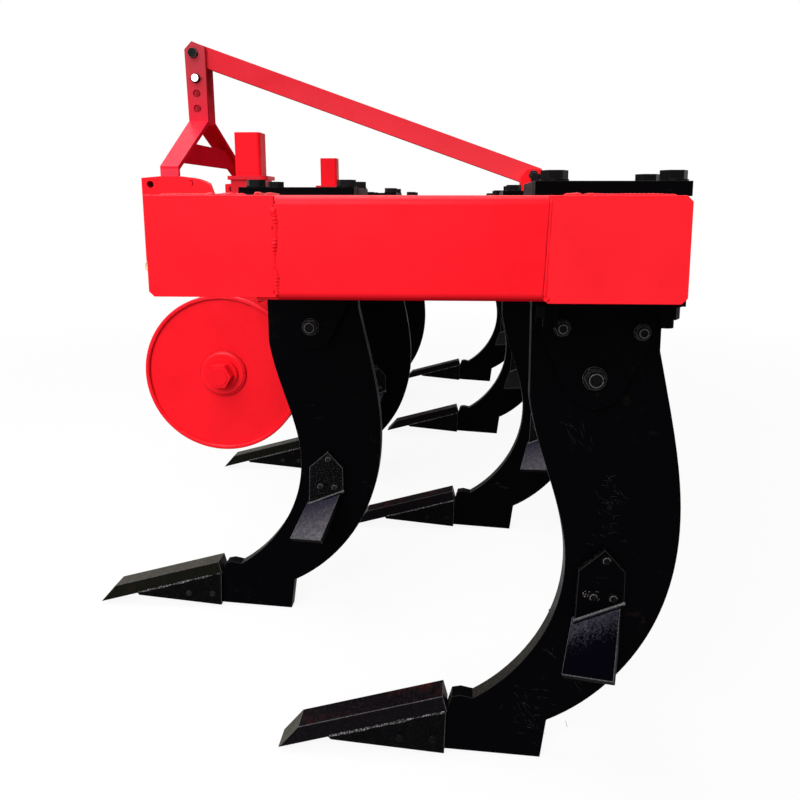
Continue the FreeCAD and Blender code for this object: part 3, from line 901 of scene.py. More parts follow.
@dataclass
class ToolFrame:
    """The box-section frame with its end plates and welds."""

    palette: Palette
    beams: tuple[str, ...] = ("front_beam", "rear_beam", "side_beam_left", "side_beam_right", "inner_struts")
    front_lap: float = 27.0 * MM
    rear_lap: float = 36.0 * MM
    strut_width: float = 100.0 * MM
    seam_sunk: float = 1.5 * MM
    lump_sunk: float = 1.2 * MM
    crease_sunk: float = 0.6 * MM
    crease_off: float = 3.0 * MM
    pits: int = 24
    pit_wander: float = 7.5 * MM
    rear_from: float = 0.2
    start_lumps: tuple[tuple[Triple, Triple, float], ...] = (
        ((0, 0, 0), (0.0040, 0.0055, 0.0060), 1.0), ((0, 0.001, -0.010), (0.0034, 0.0048, 0.0030), 2.0),
        ((0, 0.002, -0.090), (0.0028, 0.0030, 0.0060), 7.0))

    def build(self, frame: dict) -> list[Piece]:
        """Dresses the frame's pieces.

        Args:
            frame: what the frame loader gave.

        Returns:
            The pieces.
        """
        red = self.palette.red
        pieces = [EasedNode(node, "frame_paint", 1.2 * MM).build(frame, red) for node in self.beams]
        # The end plates' rounded edges take the painted highlight red.
        stand_in = EasedNode("end_plates", "frame_paint", 2.5 * MM, 3, self.palette.edge_red)
        plates = stand_in.build(frame, red)
        stand_in.recolour(plates, self.palette.plate_red,
                          lambda centre, normal: centre.y > self.rear_from)
        pieces.append(plates)
        for name, forms, material in (("frame_seams", self.seams(), red),
                                      ("frame_creases", self.gaps(), self.palette.crease_red),
                                      ("frame_welds", self.joints(), red)):
            pieces.append(joined_piece(name, forms, material))
        return pieces

    def seams(self) -> list[Shape]:
        """The beads where the end plates lap the side beams, with the lumps at their starts and stops.

        Returns:
            The beads and lumps.
        """
        forms: list[Shape] = []
        for side, y, swing, rough in self.laps():
            low, high = side.box("side_beam_")
            sunk = side.outer(low, high) - side.value * self.seam_sunk
            path = [at(sunk, y - swing, low.z + 0.006), at(sunk, y, (low.z + high.z) / 2),
                    at(sunk, y + swing, high.z - 0.006)]
            forms.append(WeldBead(path, (2.2 + rough) * MM, 4.5 * MM, y * 10, wander=0.5 + 0.4 * rough))
        for side in Side:
            low, high = side.box("side_beam_")
            sunk = side.outer(low, high) - side.value * self.lump_sunk
            start = at(sunk, low.y + self.front_lap - 0.001, high.z - 0.021)
            for step, reach, seed in self.start_lumps:
                forms.append(WeldLump(start + Vector(step), Vector(reach), seed))
            stop = at(sunk, high.y - self.rear_lap, low.z + 0.004)
            forms.append(WeldLump(stop, at(0.0028, 0.0048, 0.0034), 4.0))
        return forms

    def laps(self) -> list[tuple[Side, float, float, float]]:
        """Where each end plate's inner edge stands, and what its bead is like.

        Returns:
            The side, the Y, how far the top leans back and how rough the bead is, for each.
        """
        places = []
        for side in Side:
            low, high = side.box("side_beam_")
            places.append((side, low.y + self.front_lap, 0.0005, 1.0))
            places.append((side, high.y - self.rear_lap, 0.003, 0.0))
        return places

    def gaps(self) -> list[Shape]:
        """Painted shade beside the end plates' beads: dark lumps for the shade in the rough one's pits, a
        dark line along the smooth one.

        Returns:
            The pits and lines.
        """
        forms: list[Shape] = []
        for side, y, swing, rough in self.laps():
            low, high = side.box("side_beam_")
            face = side.outer(low, high)
            # A dark line painted as the shade beside the smooth bead.
            if rough < 0.5:
                sunk = face - side.value * self.crease_sunk
                line = y - self.crease_off
                path = [at(sunk, line - swing, low.z + 0.004), at(sunk, line, (low.z + high.z) / 2),
                        at(sunk, line + swing - 0.0002, high.z - 0.008)]
                forms.append(WeldBead(path, 1.1 * MM, 3.0 * MM, y * 7 + 2, wander=0.4))
                continue
            # Dark lumps painted as the shade in the rough bead's pits.
            for n in range(self.pits):
                z = low.z + 0.008 + (high.z - low.z - 0.018) * n / (self.pits - 1)
                roll = noise.noise(at(n * 1.37, 4.0, y))
                pit = at(face - side.value * 0.0004, y + roll * self.pit_wander, z + roll * 0.002)
                reach = at(0.0011, 0.0008 + 0.0014 * abs(roll), 0.0022 + 0.0030 * abs(roll))
                forms.append(WeldLump(pit, reach, n * 1.7))
        return forms

    def joints(self) -> list[Shape]:
        """The beads inside the rectangle and along the end plates' tops.

        Returns:
            The beads and lumps.
        """
        forms: list[Shape] = []
        front_low, front_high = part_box("front_beam")
        rear_low, rear_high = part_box("rear_beam")
        strut_low, strut_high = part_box("inner_struts")
        for side in Side:
            low, high = side.box("side_beam_")
            reach = side.value * (front_high.x - 0.5 * MM)
            inside = side.inner(low, high)
            for y in (low.y, high.y):
                path = [at(reach, y, low.z), at(inside, y, low.z), at(inside, y, high.z),
                        at(reach, y, high.z)]
                forms.append(WeldBead(path, 3.5 * MM, WELD_RIPPLE, seed=y))
            for beam_low, beam_high in ((front_low, front_high), (rear_low, rear_high)):
                path = [at(reach, y, beam_high.z) for y in (beam_low.y + 0.012, beam_high.y - 0.012)]
                forms.append(WeldBead(path, 2.4 * MM, WELD_RIPPLE, seed=beam_low.y))
            for y, size in ((front_high.y - 0.036, 0.013), (front_high.y - 0.060, 0.008),
                            (rear_low.y - 0.004, 0.012), (rear_low.y + 0.016, 0.009)):
                forms.append(WeldLump(at(reach + side.value * 0.002, y, front_high.z - 0.0005),
                                      at(0.005, size, 0.0038), y * 9))
            outer = side.value * strut_high.x
            inner = outer - side.value * self.strut_width
            corner_low = at(min(outer, inner), 0, strut_low.z)
            corner_high = at(max(outer, inner), 0, strut_high.z)
            for y in (strut_low.y, strut_high.y):
                forms.append(WeldBead(round_y(y, corner_low, corner_high), 3.5 * MM, WELD_RIPPLE, seed=y + 3))
        return forms


@dataclass
class Headstock:
    """The hitch end: rails, bracket plates, mast, stay and pins."""

    palette: Palette
    ear: float = 16.0 * MM
    lower_pin: float = 14.0 * MM
    pin_back: float = 22.0 * MM
    pin_rise: float = 28.0 * MM
    bore: Triple = (-0.634, 1.042, 0.0125)
    lap_back: float = 148.0 * MM
    lap_drop: float = 12.0 * MM
    lug: float = 12.0 * MM
    bar_edges: Span = (26.0 * MM, 83.0 * MM)
    cross_reach: Span = (315.0 * MM, 180.0 * MM)

    def build(self, frame: dict) -> list[Piece]:
        """Dresses the headstock's pieces.

        Args:
            frame: what the frame loader gave.

        Returns:
            The pieces.
        """
        palette = self.palette
        pieces = []
        for material, nodes in (
                (palette.red, ("headstock_rails", "headstock_tube", "hitch_plates_left",
                               "hitch_plates_right", "brace_lugs")),
                (palette.mast_red, ("mast_bar_left", "mast_bar_right", "mast_cross_plate")),
                (palette.stay_red, ("brace",))):
            for node in nodes:
                stand_in = EasedNode(node, "frame_paint", 1.6 * MM)
                piece = stand_in.build(frame, material)
                if node.startswith("hitch_plates"):
                    # The upper holes' bores are painted black: painted shade in the holes.
                    stand_in.recolour(piece, palette.black, self.in_bore)
                pieces.append(piece)
        for node in ("mast_bolt", "brace_bolt"):
            pieces.append(EasedNode(node, "bolt_steel", edge=palette.bolt_edge).build(frame, palette.bolt))
        pieces.append(EasedNode("top_link_pin", "pin_steel").build(frame, palette.zinc))
        pieces.append(joined_piece("headstock_welds", self.welds(), palette.red))
        pieces.append(joined_piece("weld_starts", self.weld_starts(), palette.seam_red))
        pieces.append(joined_piece("link_pins", self.link_pins(), palette.gold))
        pieces.append(joined_piece("pin_clips", self.clips(), palette.zinc, smooth=60.0))
        pieces.append(joined_piece("pin_collar", self.collars(), palette.bolt))
        return pieces

    def in_bore(self, centre: Vector, normal: Vector) -> bool:
        """Whether a face is inside the hitch plates' upper holes, whose bores are painted black as shade."""
        y, z, radius = self.bore
        return abs(normal.x) < 0.2 and math.hypot(centre.y - y, centre.z - z) < radius

    def weld_starts(self) -> list[Shape]:
        """The dark starts of the beads on the hitch plates' outer faces.

        Returns:
            The lumps.
        """
        forms: list[Shape] = []
        for side in Side:
            low, high = side.box("hitch_plates_")
            start = at(side.outer(low, high), low.y + self.lap_back, high.z - self.lap_drop)
            forms.append(WeldLump(start + at(0, 0.0030, -0.001), at(0.0015, 0.0022, 0.0022), 5.0))
            forms.append(WeldLump(start + at(0, 0.0060, -0.009), at(0.0015, 0.0022, 0.0065), 6.0))
        return forms

    def welds(self) -> list[Shape]:
        """The beads of the headstock.

        Returns:
            The beads and lumps.
        """
        forms: list[Shape] = []
        rail_low, rail_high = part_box("headstock_rails")
        tube_low, tube_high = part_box("headstock_tube")
        lug_low, lug_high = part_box("brace_lugs")
        cross_low, cross_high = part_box("mast_cross_plate")
        for side in Side:
            low, high = side.box("hitch_plates_")
            bar_low, _ = side.box("mast_bar_")
            outer, inner = side.outer(low, high), side.inner(low, high)
            for face in (outer - side.value * self.ear, inner + side.value * self.ear):
                for start, end in (((rail_low.y + 0.006, rail_high.z), (high.y - 0.004, rail_high.z)),
                                   ((high.y, rail_high.z - 0.004), (high.y - 0.02, rail_low.z + 0.01))):
                    forms.append(WeldBead([at(face, *start), at(face, *end)], 3.6 * MM, seed=face))
            rail = round_y(rail_high.y, at(min(outer, inner) + self.ear, 0, rail_low.z),
                           at(max(outer, inner) - self.ear, 0, rail_high.z))
            forms.append(WeldBead(rail, 3.8 * MM, WELD_RIPPLE, seed=2.0))
            tube = round_x(side.outer(tube_low, tube_high), tube_low, tube_high)
            forms.append(WeldBead(tube, 3.8 * MM, WELD_RIPPLE, seed=3.0))
            foot = inner + side.value * self.ear + side.value * 0.001
            for y in (low.y + edge for edge in self.bar_edges):
                path = [at(foot, y, bar_low.z + 0.004), at(foot, y, high.z - 0.002)]
                forms.append(WeldBead(path, 3.2 * MM, seed=y))
            start = at(outer + side.value * 0.0005, low.y + self.lap_back, high.z - self.lap_drop)
            forms.append(WeldLump(start, at(0.0025, 0.006, 0.003), 5.0))
            forms.append(WeldLump(start + at(0, 0.003, -0.011), at(0.0022, 0.0035, 0.006), 6.0))
            below, above = (side.value * reach for reach in self.cross_reach)
            for y in (cross_low.y, cross_high.y):
                path = [at(below, y, cross_low.z + 0.001), at(above, y, cross_high.z - 0.001)]
                forms.append(WeldBead(path, 2.8 * MM, seed=y))
            for face in (lug_high.x, lug_high.x - self.lug):
                path = [at(side.value * face, y, lug_low.z) for y in (lug_low.y + 0.002, lug_high.y - 0.002)]
                forms.append(WeldBead(path, 3.4 * MM, seed=face))
        return forms

    def link_pins(self) -> list[Shape]:
        """The lower link pins, each with its collar and its safety clip.

        Returns:
            The pins and the wires of their clips.
        """
        forms: list[Shape] = []
        radius = self.lower_pin
        for side in Side:
            low, high = side.box("hitch_plates_")
            half = (high.x - low.x) / 2
            out = at(side.value, 0, 0)
            middle = at((low.x + high.x) / 2, low.y + self.pin_back, low.z + self.pin_rise)
            profile = [(-half - 0.012, radius - 0.0015), (-half - 0.0105, radius + 0.006),
                       (-half - 0.0005, radius + 0.006), (-half - 0.0005, radius), (half + 0.030, radius),
                       (half + 0.034, radius - 0.004)]
            forms.append(Turned(middle, out, profile, 32))
            end = middle + out * (half + 0.020)
            forms.append(bent_wire([end + at(0, 0, -0.021), end + at(0, 0, 0.021)], 3.5 * MM))
            ring = circle_about_x(end + at(side.value * 0.006, 0.003, 0.004), 0.017)
            forms.append(bent_wire(ring, 1.8 * MM))
        return forms

    def clips(self) -> list[Shape]:
        """The split pin and ring at the far end of the top link pin.

        Returns:
            The split pin and the ring.
        """
        low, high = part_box("top_link_pin")
        reach = (high.z - low.z) / 2
        far = at(low.x + 0.009, (low.y + high.y) / 2, (low.z + high.z) / 2)
        foot = far + at(0, 0, -reach - 0.016)
        return [Turned(foot, at(0, 0, 1), [(0, 0.0030), (2 * reach + 0.022, 0.0030)], 12),
                bent_wire(circle_about_x(far + at(-0.004, 0, 0), reach + 0.007), 1.6 * MM)]

    def collars(self) -> list[Shape]:
        """The dark collar and split pin at the near end of the top link pin.

        Returns:
            The collar and the split pin.
        """
        low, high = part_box("top_link_pin")
        reach = (high.z - low.z) / 2
        foot = at(high.x - 0.0136, (low.y + high.y) / 2, (low.z + high.z) / 2)
        profile = [(0, reach + 0.0030), (0.0070, reach + 0.0030), (0.0080, reach + 0.0020),
                   (0.0080, reach - 0.001)]
        across = foot + at(0.0100, -reach - 0.008, -0.001)
        return [Turned(foot, at(1, 0, 0), profile, 28),
                Turned(across, at(0, 1, 0), [(0, 0.0013), (2 * reach + 0.022, 0.0013)], 10)]


@dataclass
class TineRow:
    """One row of tines with their points, wings and clamps, in the tine's own lengths along Y and Z."""

    row: Row
    palette: Palette
    bar: Colour
    toe: float = 190.0 * MM
    apex_over_fold: float = 114.0 * MM
    rear_over_fold: float = 42.0 * MM
    fold_slope: float = 0.405
    row_reach: float = 0.25
    fold_line: tuple[Triple, ...] = ((0.0270, 0.528, 0.2775), (0.0270, 0.613, 0.3110))
    wing_bolts: tuple[Span, ...] = ((0.580, 0.391), (0.560, 0.324), (0.594, 0.322))
    point_bolts: tuple[Span, ...] = ((0.225, 0.038), (0.284, 0.038))
    point_seam: tuple[Span, ...] = ((0.096, 0.0365), (0.150, 0.0505), (0.306, 0.0925))
    cheek: Span = (0.450, 0.655)
    wing_thick: float = 12.0 * MM
    wing_head: Span = (13.0 * MM, 6.0 * MM)
    point_head: Span = (8.0 * MM, 4.5 * MM)
    scratched: tuple[tuple[float, float, float, float, int, float], ...] = (
        (0.582, 0.480, 0.055, 0.110, 42, 0.008), (0.460, 0.090, 0.110, 0.100, 36, 0.008),
        (0.529, 0.608, 0.050, 0.040, 8, 0.014),
        (0.492, 0.208, 0.014, 0.010, 4, 0.012), (0.542, 0.158, 0.014, 0.030, 5, 0.012))
    lump_count: int = 26
    shin_top: float = 0.50
    under_beams: float = 0.86
    cross_bolts: tuple[tuple[Span, float, float], ...] = (
        ((0.547, 0.709), 0.012, 0.0), ((0.492, 0.792), 0.008, 0.0034), ((0.620, 0.786), 0.008, 0.0034))

    def build(self, frame: dict) -> list[Piece]:
        """Dresses the row's pieces.

        Args:
            frame: what the frame loader gave.

        Returns:
            The pieces.
        """
        pieces = []
        palette = self.palette
        word = self.row.word
        bar = self.bar_enamel()
        for number in range(1, self.row.value + 1):
            pieces.extend(self.tine(frame, "%s_%d" % (word, number), bar))
        for node, slot, material, edge in (("clamp_plates_", "tine_paint", palette.black, palette.black_edge),
                                           ("clamp_bolts_", "bolt_steel", palette.bolt, palette.black_edge),
                                           ("tine_bolts_", "bolt_steel", palette.bolt, palette.bolt_edge)):
            stand_in = EasedNode(node + word, slot, 1.2 * MM, edge=edge)
            piece = stand_in.build(frame, material)
            if node == "clamp_bolts_":
                for coat in (0, 1):
                    stand_in.recolour(piece, palette.black, self.is_below, coat)
            pieces.append(piece)
        pieces.append(joined_piece("bolt_ends_" + word, self.bolt_ends(), palette.bolt,
                                   smooth=25.0))
        pieces.append(joined_piece("bolt_rims_" + word, self.bolt_rims(), palette.bolt_edge))
        pieces.extend(self.wings(frame))
        pieces.append(joined_piece("point_welds_" + word, self.point_welds(), palette.bead))
        pieces.append(joined_piece("clamp_welds_" + word, self.clamp_welds(), palette.black))
        pieces.append(joined_piece("small_bolts_" + word, self.small_bolts(),
                                   palette.grey_bolt if self.row is Row.FRONT else palette.worn_bolt,
                                   smooth=25.0))
        return pieces

    def bar_enamel(self) -> Material:
        """The points' enamel: one tone on the chisel bar, a darker one on the side plates under its seam.

        Returns:
            The new material.
        """
        (y, z), _, (end_y, end_z) = self.point_seam
        slope = (end_z - z) / (end_y - y)
        tip = self.origins[0]
        enamel = BlackEnamel("point_enamel_" + self.row.word, self.bar, (0.040, 0.036, 0.038),
                             (0.050, 0.014, 0.014), wear=1.0, speckle=0.10, gloss=0.02,
                             lower=(0.0012, 0.0010, 0.0014), slope=slope)
        return enamel.material(tip.z + z - slope * (tip.y + y))

    def tine(self, frame: dict, tail: str, bar: Material) -> tuple[Piece, Piece, Piece]:
        """Dresses one tine's own nodes.

        Args:
            frame: what the frame loader gave.
            tail: how the names of its nodes end.
            bar: the points' enamel.

        Returns:
            The shank, the point and the clamp's base.
        """
        palette = self.palette
        front = self.row is Row.FRONT
        stand_in = EasedNode("shank_" + tail, "tine_paint", 1.6 * MM, edge=palette.black_edge)
        shank = stand_in.build(frame, palette.black)
        stand_in.recolour(shank, palette.front_shin if front else palette.shin, self.is_shin)
        stand_in = EasedNode("point_" + tail, "point_paint", edge=palette.point_edge)
        point = stand_in.build(frame, bar)
        stand_in.recolour(point, palette.point_tip, self.is_bevel)
        stand_in.recolour(point, palette.front_top if front else palette.rear_top, self.is_top)
        return shank, point, EasedNode("clamp_base_" + tail, "tine_paint").build(frame, palette.black)

    def is_shin(self, centre: Vector, normal: Vector) -> bool:
        """Whether a face is on a shank's worn front edge."""
        return normal.y < -0.30 and normal.z > -0.15 and centre.z < self.shin_top

    def is_bevel(self, _: Vector, normal: Vector) -> bool:
        """Whether a face is a chisel bar's bevel."""
        return normal.y < -0.6 and normal.z > 0.5

    def is_top(self, _: Vector, normal: Vector) -> bool:
        """Whether a face is on top of a point."""
        return normal.z > 0.85

    def is_below(self, centre: Vector, _: Vector) -> bool:
        """Whether a face is lower than the beams."""
        return centre.z < self.under_beams

    @cached_property
    def origins(self) -> list[Vector]:
        """The tip of each tine, on the ground.

        Returns:
            The tips, in the order of the nodes' numbers.
        """
        places = []
        for i in range(1, self.row.value + 1):
            low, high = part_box("shank_%s_%d" % (self.row.word, i))
            places.append(at((low.x + high.x) / 2, low.y - self.toe, low.z))
        return places

    def half(self, node: str, number: int = 1) -> float:
        """Half the width across X of one tine's node."""
        low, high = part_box("%s_%s_%d" % (node, self.row.word, number))
        return (high.x - low.x) / 2

    def nut_face(self) -> float:
        """How far from a tine's middle its cross bolts' nuts reach."""
        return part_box("tine_bolts_" + self.row.word)[1].x - max(origin.x for origin in self.origins)

    def wings(self, frame: dict) -> list[Piece]:
        """Dresses the wings: speckled base plates, flared blades with painted light and shade over grains of
        wear, bright folds.

        Args:
            frame: what the frame loader gave.

        Returns:
            The pieces.
        """
        palette = self.palette
        word = self.row.word
        rear = self.row is Row.REAR
        _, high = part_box("wings_" + word)
        slope = self.fold_slope
        level = (high.z - self.apex_over_fold) - slope * (high.y - self.rear_over_fold)
        stand_in = EasedNode("wings_" + word, "tine_paint", 1.3 * MM, edge=palette.point_edge)
        piece = stand_in.build(frame, palette.wing_plate)
        nearest = max(origin.x for origin in self.origins) - self.row_reach

        def paint(material: Material, beyond: float, chosen: Callable, base: int = 0) -> None:
            """Recolours faces past an X, chosen by their normal and their height over the fold."""
            stand_in.recolour(piece, material, lambda centre, normal: centre.x > beyond
                              and chosen(normal, centre.z - slope * centre.y - level), base)

        def is_blade(normal: Vector, _: float) -> bool:
            """Whether a face is a blade's flared upper side."""
            return 0.35 < abs(normal.x) < 0.60 and normal.z > 0.6

        if rear:
            # The nearest rear blade: a painted highlight at its fold, dark towards its foot.
            dark = BladeEnamel("dull_blade_enamel", (0.044, 0.043, 0.059), (0.0009, 0.0007, 0.0025),
                               (0.110, 0.108, 0.128), 0.26, 0.024, 0.006, slope)
            paint(dark.material(level), nearest, is_blade)
            paint(palette.black, nearest, lambda normal, over: abs(normal.x) > 0.9)
            paint(palette.black_edge, nearest, lambda normal, over: over > -0.004, 1)
        # The other blades: a painted reflection, lighter towards their foot; rear ones past the middle take
        # painted shade.
        pale = BladeEnamel("grey_blade_enamel_" + word, (0.014, 0.012, 0.026), (0.092, 0.092, 0.102),
                           (0.22, 0.22, 0.24), 0.55, 0.050, 0.04, slope)
        paint(pale.material(level), 0.0 if rear else -math.inf, is_blade)
        paint(palette.far_blade, -math.inf, is_blade)
        paint(palette.black, -math.inf, lambda normal, over: over < -0.006)
        paint(palette.black, -math.inf,
              lambda normal, over: normal.z < 0.45 and abs(normal.x) < 0.8 and over < -0.006, 1)
        folds, shade_lines = self.folds(nearest if rear else math.inf)
        pieces = [piece, joined_piece("wing_folds_" + word, folds, palette.ridge),
                  joined_piece("wing_creases_" + word, shade_lines, palette.black)]
        if rear:
            pieces.append(joined_piece("wing_lumps", self.lumps(), palette.lump_rust))
            pieces.append(joined_piece("scratches", self.scratches(), palette.scratch))
        return pieces

    def folds(self, short_under: float) -> tuple[list[Shape], list[Shape]]:
        """The bright ridges along the wings' folds and black lines of painted shade under them.

        Args:
            short_under: the X under which the tines' lines of painted shade are short.

        Returns:
            The ridges and the lines of painted shade.
        """
        ridges: list[Shape] = []
        shade_lines: list[Shape] = []
        for origin in self.origins:
            for sign in (-1, 1):
                path = [origin + at(sign * x, y, z) for x, y, z in self.fold_line]
                ridges.append(bent_wire(path, 2.2 * MM))
                ridges.append(WeldLump(path[-1], at(0.0028, 0.0030, 0.0036), 3.0))
                # A black line just under each ridge: painted shade.
                under = [point + at(sign * 0.0056, -0.0006, -0.0028) for point in path]
                if origin.x < short_under:
                    under[0] = under[0].lerp(under[-1], 0.45)
                shade_lines.append(bent_wire(under, 1.9 * MM))
        return ridges, shade_lines

    def scratches(self) -> list[Shape]:
        """The fine scratches on the outermost shank's face, in patches.

        Returns:
            The scratches.
        """
        forms: list[Shape] = []
        origin = max(self.origins, key=lambda place: place.x)
        face = origin.x + self.half("shank", self.row.value)
        for n, (y, z, wide, tall, count, length) in enumerate(self.scratched):
            for k in range(count):
                roll = [noise.noise(at(k * 1.73 + n * 7.1, m * 3.7, n * 0.9)) for m in range(4)]
                middle = at(face, origin.y + y + wide * roll[0], z + tall * roll[1])
                turn = 2.4 + 1.6 * roll[2]
                reach = at(0.0, math.cos(turn), math.sin(turn)) * length * (0.5 + abs(roll[3]))
                bow = at(0.0, -reach.z, reach.y) * 0.2 * roll[3]
                forms.append(WeldBead([middle - reach, middle + bow, middle + reach], 0.35 * MM, 8.0 * MM,
                                      seed=k, sides=5, wander=0.6))
        return forms

    def lumps(self) -> list[Shape]:
        """The rusty lumps of spatter by the wings' lower front bolts.

        Returns:
            The lumps.
        """
        forms: list[Shape] = []
        face = self.half("shank") + self.wing_thick
        y, z = self.wing_bolts[1]
        for n, origin in enumerate(self.origins):
            for k in range(self.lump_count):
                roll = noise.noise(at(k * 2.37, n * 1.9, 0.5))
                turn = noise.noise(at(k * 1.71, n * 2.3, 7.5))
                place = origin + at(face, y - 0.015 + 0.0010 * k + 0.006 * turn, z + 0.002 + 0.013 * roll)
                forms.append(WeldLump(place, at(0.0010, 0.0010 + 0.0016 * abs(turn), 0.0012), k + n * 3.0))
        return forms

    def bolt_ends(self) -> list[Shape]:
        """The threaded ends that stand out of the nuts on the clamps' cross bolts.

        Returns:
            The bolts' ends.
        """
        face = self.nut_face()
        return [Turned(origin + at(face - drop, y, z), at(1, 0, 0),
                       [(0, radius), (0.0035, radius), (0.0050, radius - 0.0015), (0.0050, radius - 0.004),
                        (0.0035, radius - 0.005)], 24)
                for origin in self.origins for (y, z), radius, drop in self.cross_bolts]

    def bolt_rims(self) -> list[Shape]:
        """Light rims, part edge wear and part painted highlight, round the cross bolts' ends and over the
        upper half of the wings' bolt heads.

        Returns:
            The rims.
        """
        forms: list[Shape] = []
        face = self.nut_face()
        plate = self.half("shank") + self.wing_thick
        for origin in self.origins:
            for (y, z), radius, drop in self.cross_bolts:
                centre = origin + at(face - drop + 0.0046, y, z)
                forms.append(bent_wire(circle_about_x(centre, radius - 0.001, 20), 0.9 * MM))
            for sign in (-1, 1):
                for y, z in self.wing_bolts:
                    # Only the upper half of each head's rim is drawn: a painted highlight where the light
                    # falls.
                    arc = circle_about_x(origin + at(sign * (plate + 0.0072), y, z), 0.0062, 16)
                    forms.append(bent_wire(arc[0:11], 0.8 * MM))
        return forms

    def small_bolts(self) -> list[Shape]:
        """The heads of the wings' bolts and of the bolts through the points' side plates.

        Returns:
            The heads with their washers.
        """
        forms: list[Shape] = []
        plate = self.half("shank") + self.wing_thick
        cheek = self.half("point")
        for origin in self.origins:
            for sign in (-1, 1):
                out = at(sign, 0, 0)
                for y, z in self.wing_bolts:
                    forms.extend(hex_head(origin + at(sign * plate, y, z), out, *self.wing_head))
                for y, z in self.point_bolts:
                    forms.append(round_head(origin + at(sign * cheek, y, z), out, *self.point_head))
        return forms

    def point_welds(self) -> list[Shape]:
        """The beads under the chisel bars, where the side plates meet them.

        Returns:
            The beads.
        """
        forms: list[Shape] = []
        half = self.half("point")
        for n, origin in enumerate(self.origins):
            for sign in (-1, 1):
                path = [origin + at(sign * (half - 0.0005), y, z) for y, z in self.point_seam]
                forms.append(WeldBead(path, 2.4 * MM, 4.0 * MM, seed=n * 3.1 + sign, wander=0.7))
        return forms

    def clamp_welds(self) -> list[Shape]:
        """The beads between each clamp's cheeks and its base plate.

        Returns:
            The beads.
        """
        forms: list[Shape] = []
        for i, origin in enumerate(self.origins):
            low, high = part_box("shank_%s_%d" % (self.row.word, i + 1))
            for sign in (-1, 1):
                x = origin.x + sign * ((high.x - low.x) / 2 + 0.0125)
                path = [at(x, origin.y + y, high.z) for y in (self.cheek[0] + 0.004, self.cheek[1] - 0.004)]
                forms.append(WeldBead(path, 3.4 * MM, WELD_RIPPLE, seed=i + sign))
        return forms


@dataclass
class DepthWheel:
    """One depth wheel with its leg and sleeve."""

    side: Side
    palette: Palette
    wall: float = 8.0 * MM
    recess: float = 6.0 * MM
    hub: float = 53.0 * MM
    arm_low: float = 870.0 * MM
    arm_high: float = 990.0 * MM
    arm_half: float = 40.0 * MM
    sleeve_half: float = 47.0 * MM
    leg_width: float = 70.0 * MM
    stub: float = 32.0 * MM

    def build(self, frame: dict) -> list[Piece]:
        """Dresses the wheel, its leg and its sleeve.

        Args:
            frame: what the frame loader gave.

        Returns:
            The pieces.
        """
        word = self.side.word
        palette = self.palette
        leg = "depth_leg_" + word
        wheel = "depth_wheel_" + word
        pieces = [
            EasedNode("wheel_sleeve_" + word, "frame_paint").build(frame, palette.sleeve_red),
            EasedNode("wheel_leg_" + word, "frame_paint", 2.2 * MM, 3).build(frame, palette.post_red, leg),
            # The wheel's rounded edges take the painted highlight red.
            EasedNode("wheel_" + word, "frame_paint", 2.0 * MM, 3, palette.edge_red).build(
                frame, palette.red, wheel)]
        for name, forms, material, body in (
                ("arm_welds_", self.arm_welds(), palette.red, FRAME_BODY),
                ("stub_weld_", self.stub_weld(), palette.red, leg),
                ("wheel_welds_", self.wheel_welds(), palette.red, wheel),
                ("wheel_creases_", self.wheel_creases(), palette.crease_red, wheel)):
            pieces.append(joined_piece(name + word, forms, material, body))
        return pieces

    def arm_welds(self) -> list[Shape]:
        """The beads at both ends of the arm between sleeve and beam.

        Returns:
            The beads.
        """
        low, high = self.side.box("wheel_sleeve_")
        leg_low, leg_high = self.side.box("wheel_leg_")
        middle = (low.x + high.x) / 2
        corner_low = at(middle - self.arm_half, 0, self.arm_low)
        corner_high = at(middle + self.arm_half, 0, self.arm_high)
        return [WeldBead(round_y(y, corner_low, corner_high), 3.6 * MM, WELD_RIPPLE, seed=y)
                for y in (high.y, (leg_low.y + leg_high.y) / 2 + self.sleeve_half)]

    def stub_weld(self) -> list[Shape]:
        """The ring of weld where the stub axle leaves the leg.

        Returns:
            The bead.
        """
        low, high = self.side.box("wheel_")
        face = self.side.inner(*self.side.box("wheel_leg_")) + self.side.value * self.leg_width
        centre = at(face, (low.y + high.y) / 2, (low.z + high.z) / 2)
        return [WeldBead(circle_about_x(centre, self.stub + 0.001), 3.6 * MM, WELD_RIPPLE, seed=4.0)]

    def disc(self) -> tuple[Vector, float]:
        """The middle of the wheel's outer disc, and the radius inside its rim.

        Returns:
            The middle and the radius.
        """
        low, high = self.side.box("wheel_")
        centre = at(self.side.outer(low, high) - self.side.value * self.recess,
                    (low.y + high.y) / 2, (low.z + high.z) / 2)
        return centre, (high.y - low.y) / 2 - self.wall

    def wheel_welds(self) -> list[Shape]:
        """The rings of weld between disc, rim and hub.

        Returns:
            The beads.
        """
        disc, rim = self.disc()
        return [WeldBead(circle_about_x(disc, rim + 0.0008, 60), 2.2 * MM, 8.0 * MM, seed=8.0, wander=0.4),
                WeldBead(circle_about_x(disc, self.hub + 0.0005, 40), 2.6 * MM, seed=9.0)]

    def wheel_creases(self) -> list[Shape]:
        """Painted shade: a dark arc over the upper front of the rim's lip, for the lip's shadow on the disc,
        and a dark ring at the foot of the hub's flange.

        Returns:
            The lines.
        """
        disc, rim = self.disc()
        return [bent_wire(circle_about_x(disc, rim - 0.0016, 60)[11:34], 1.5 * MM),
                bent_wire(circle_about_x(disc, self.hub + 0.0030, 40), 1.0 * MM)]


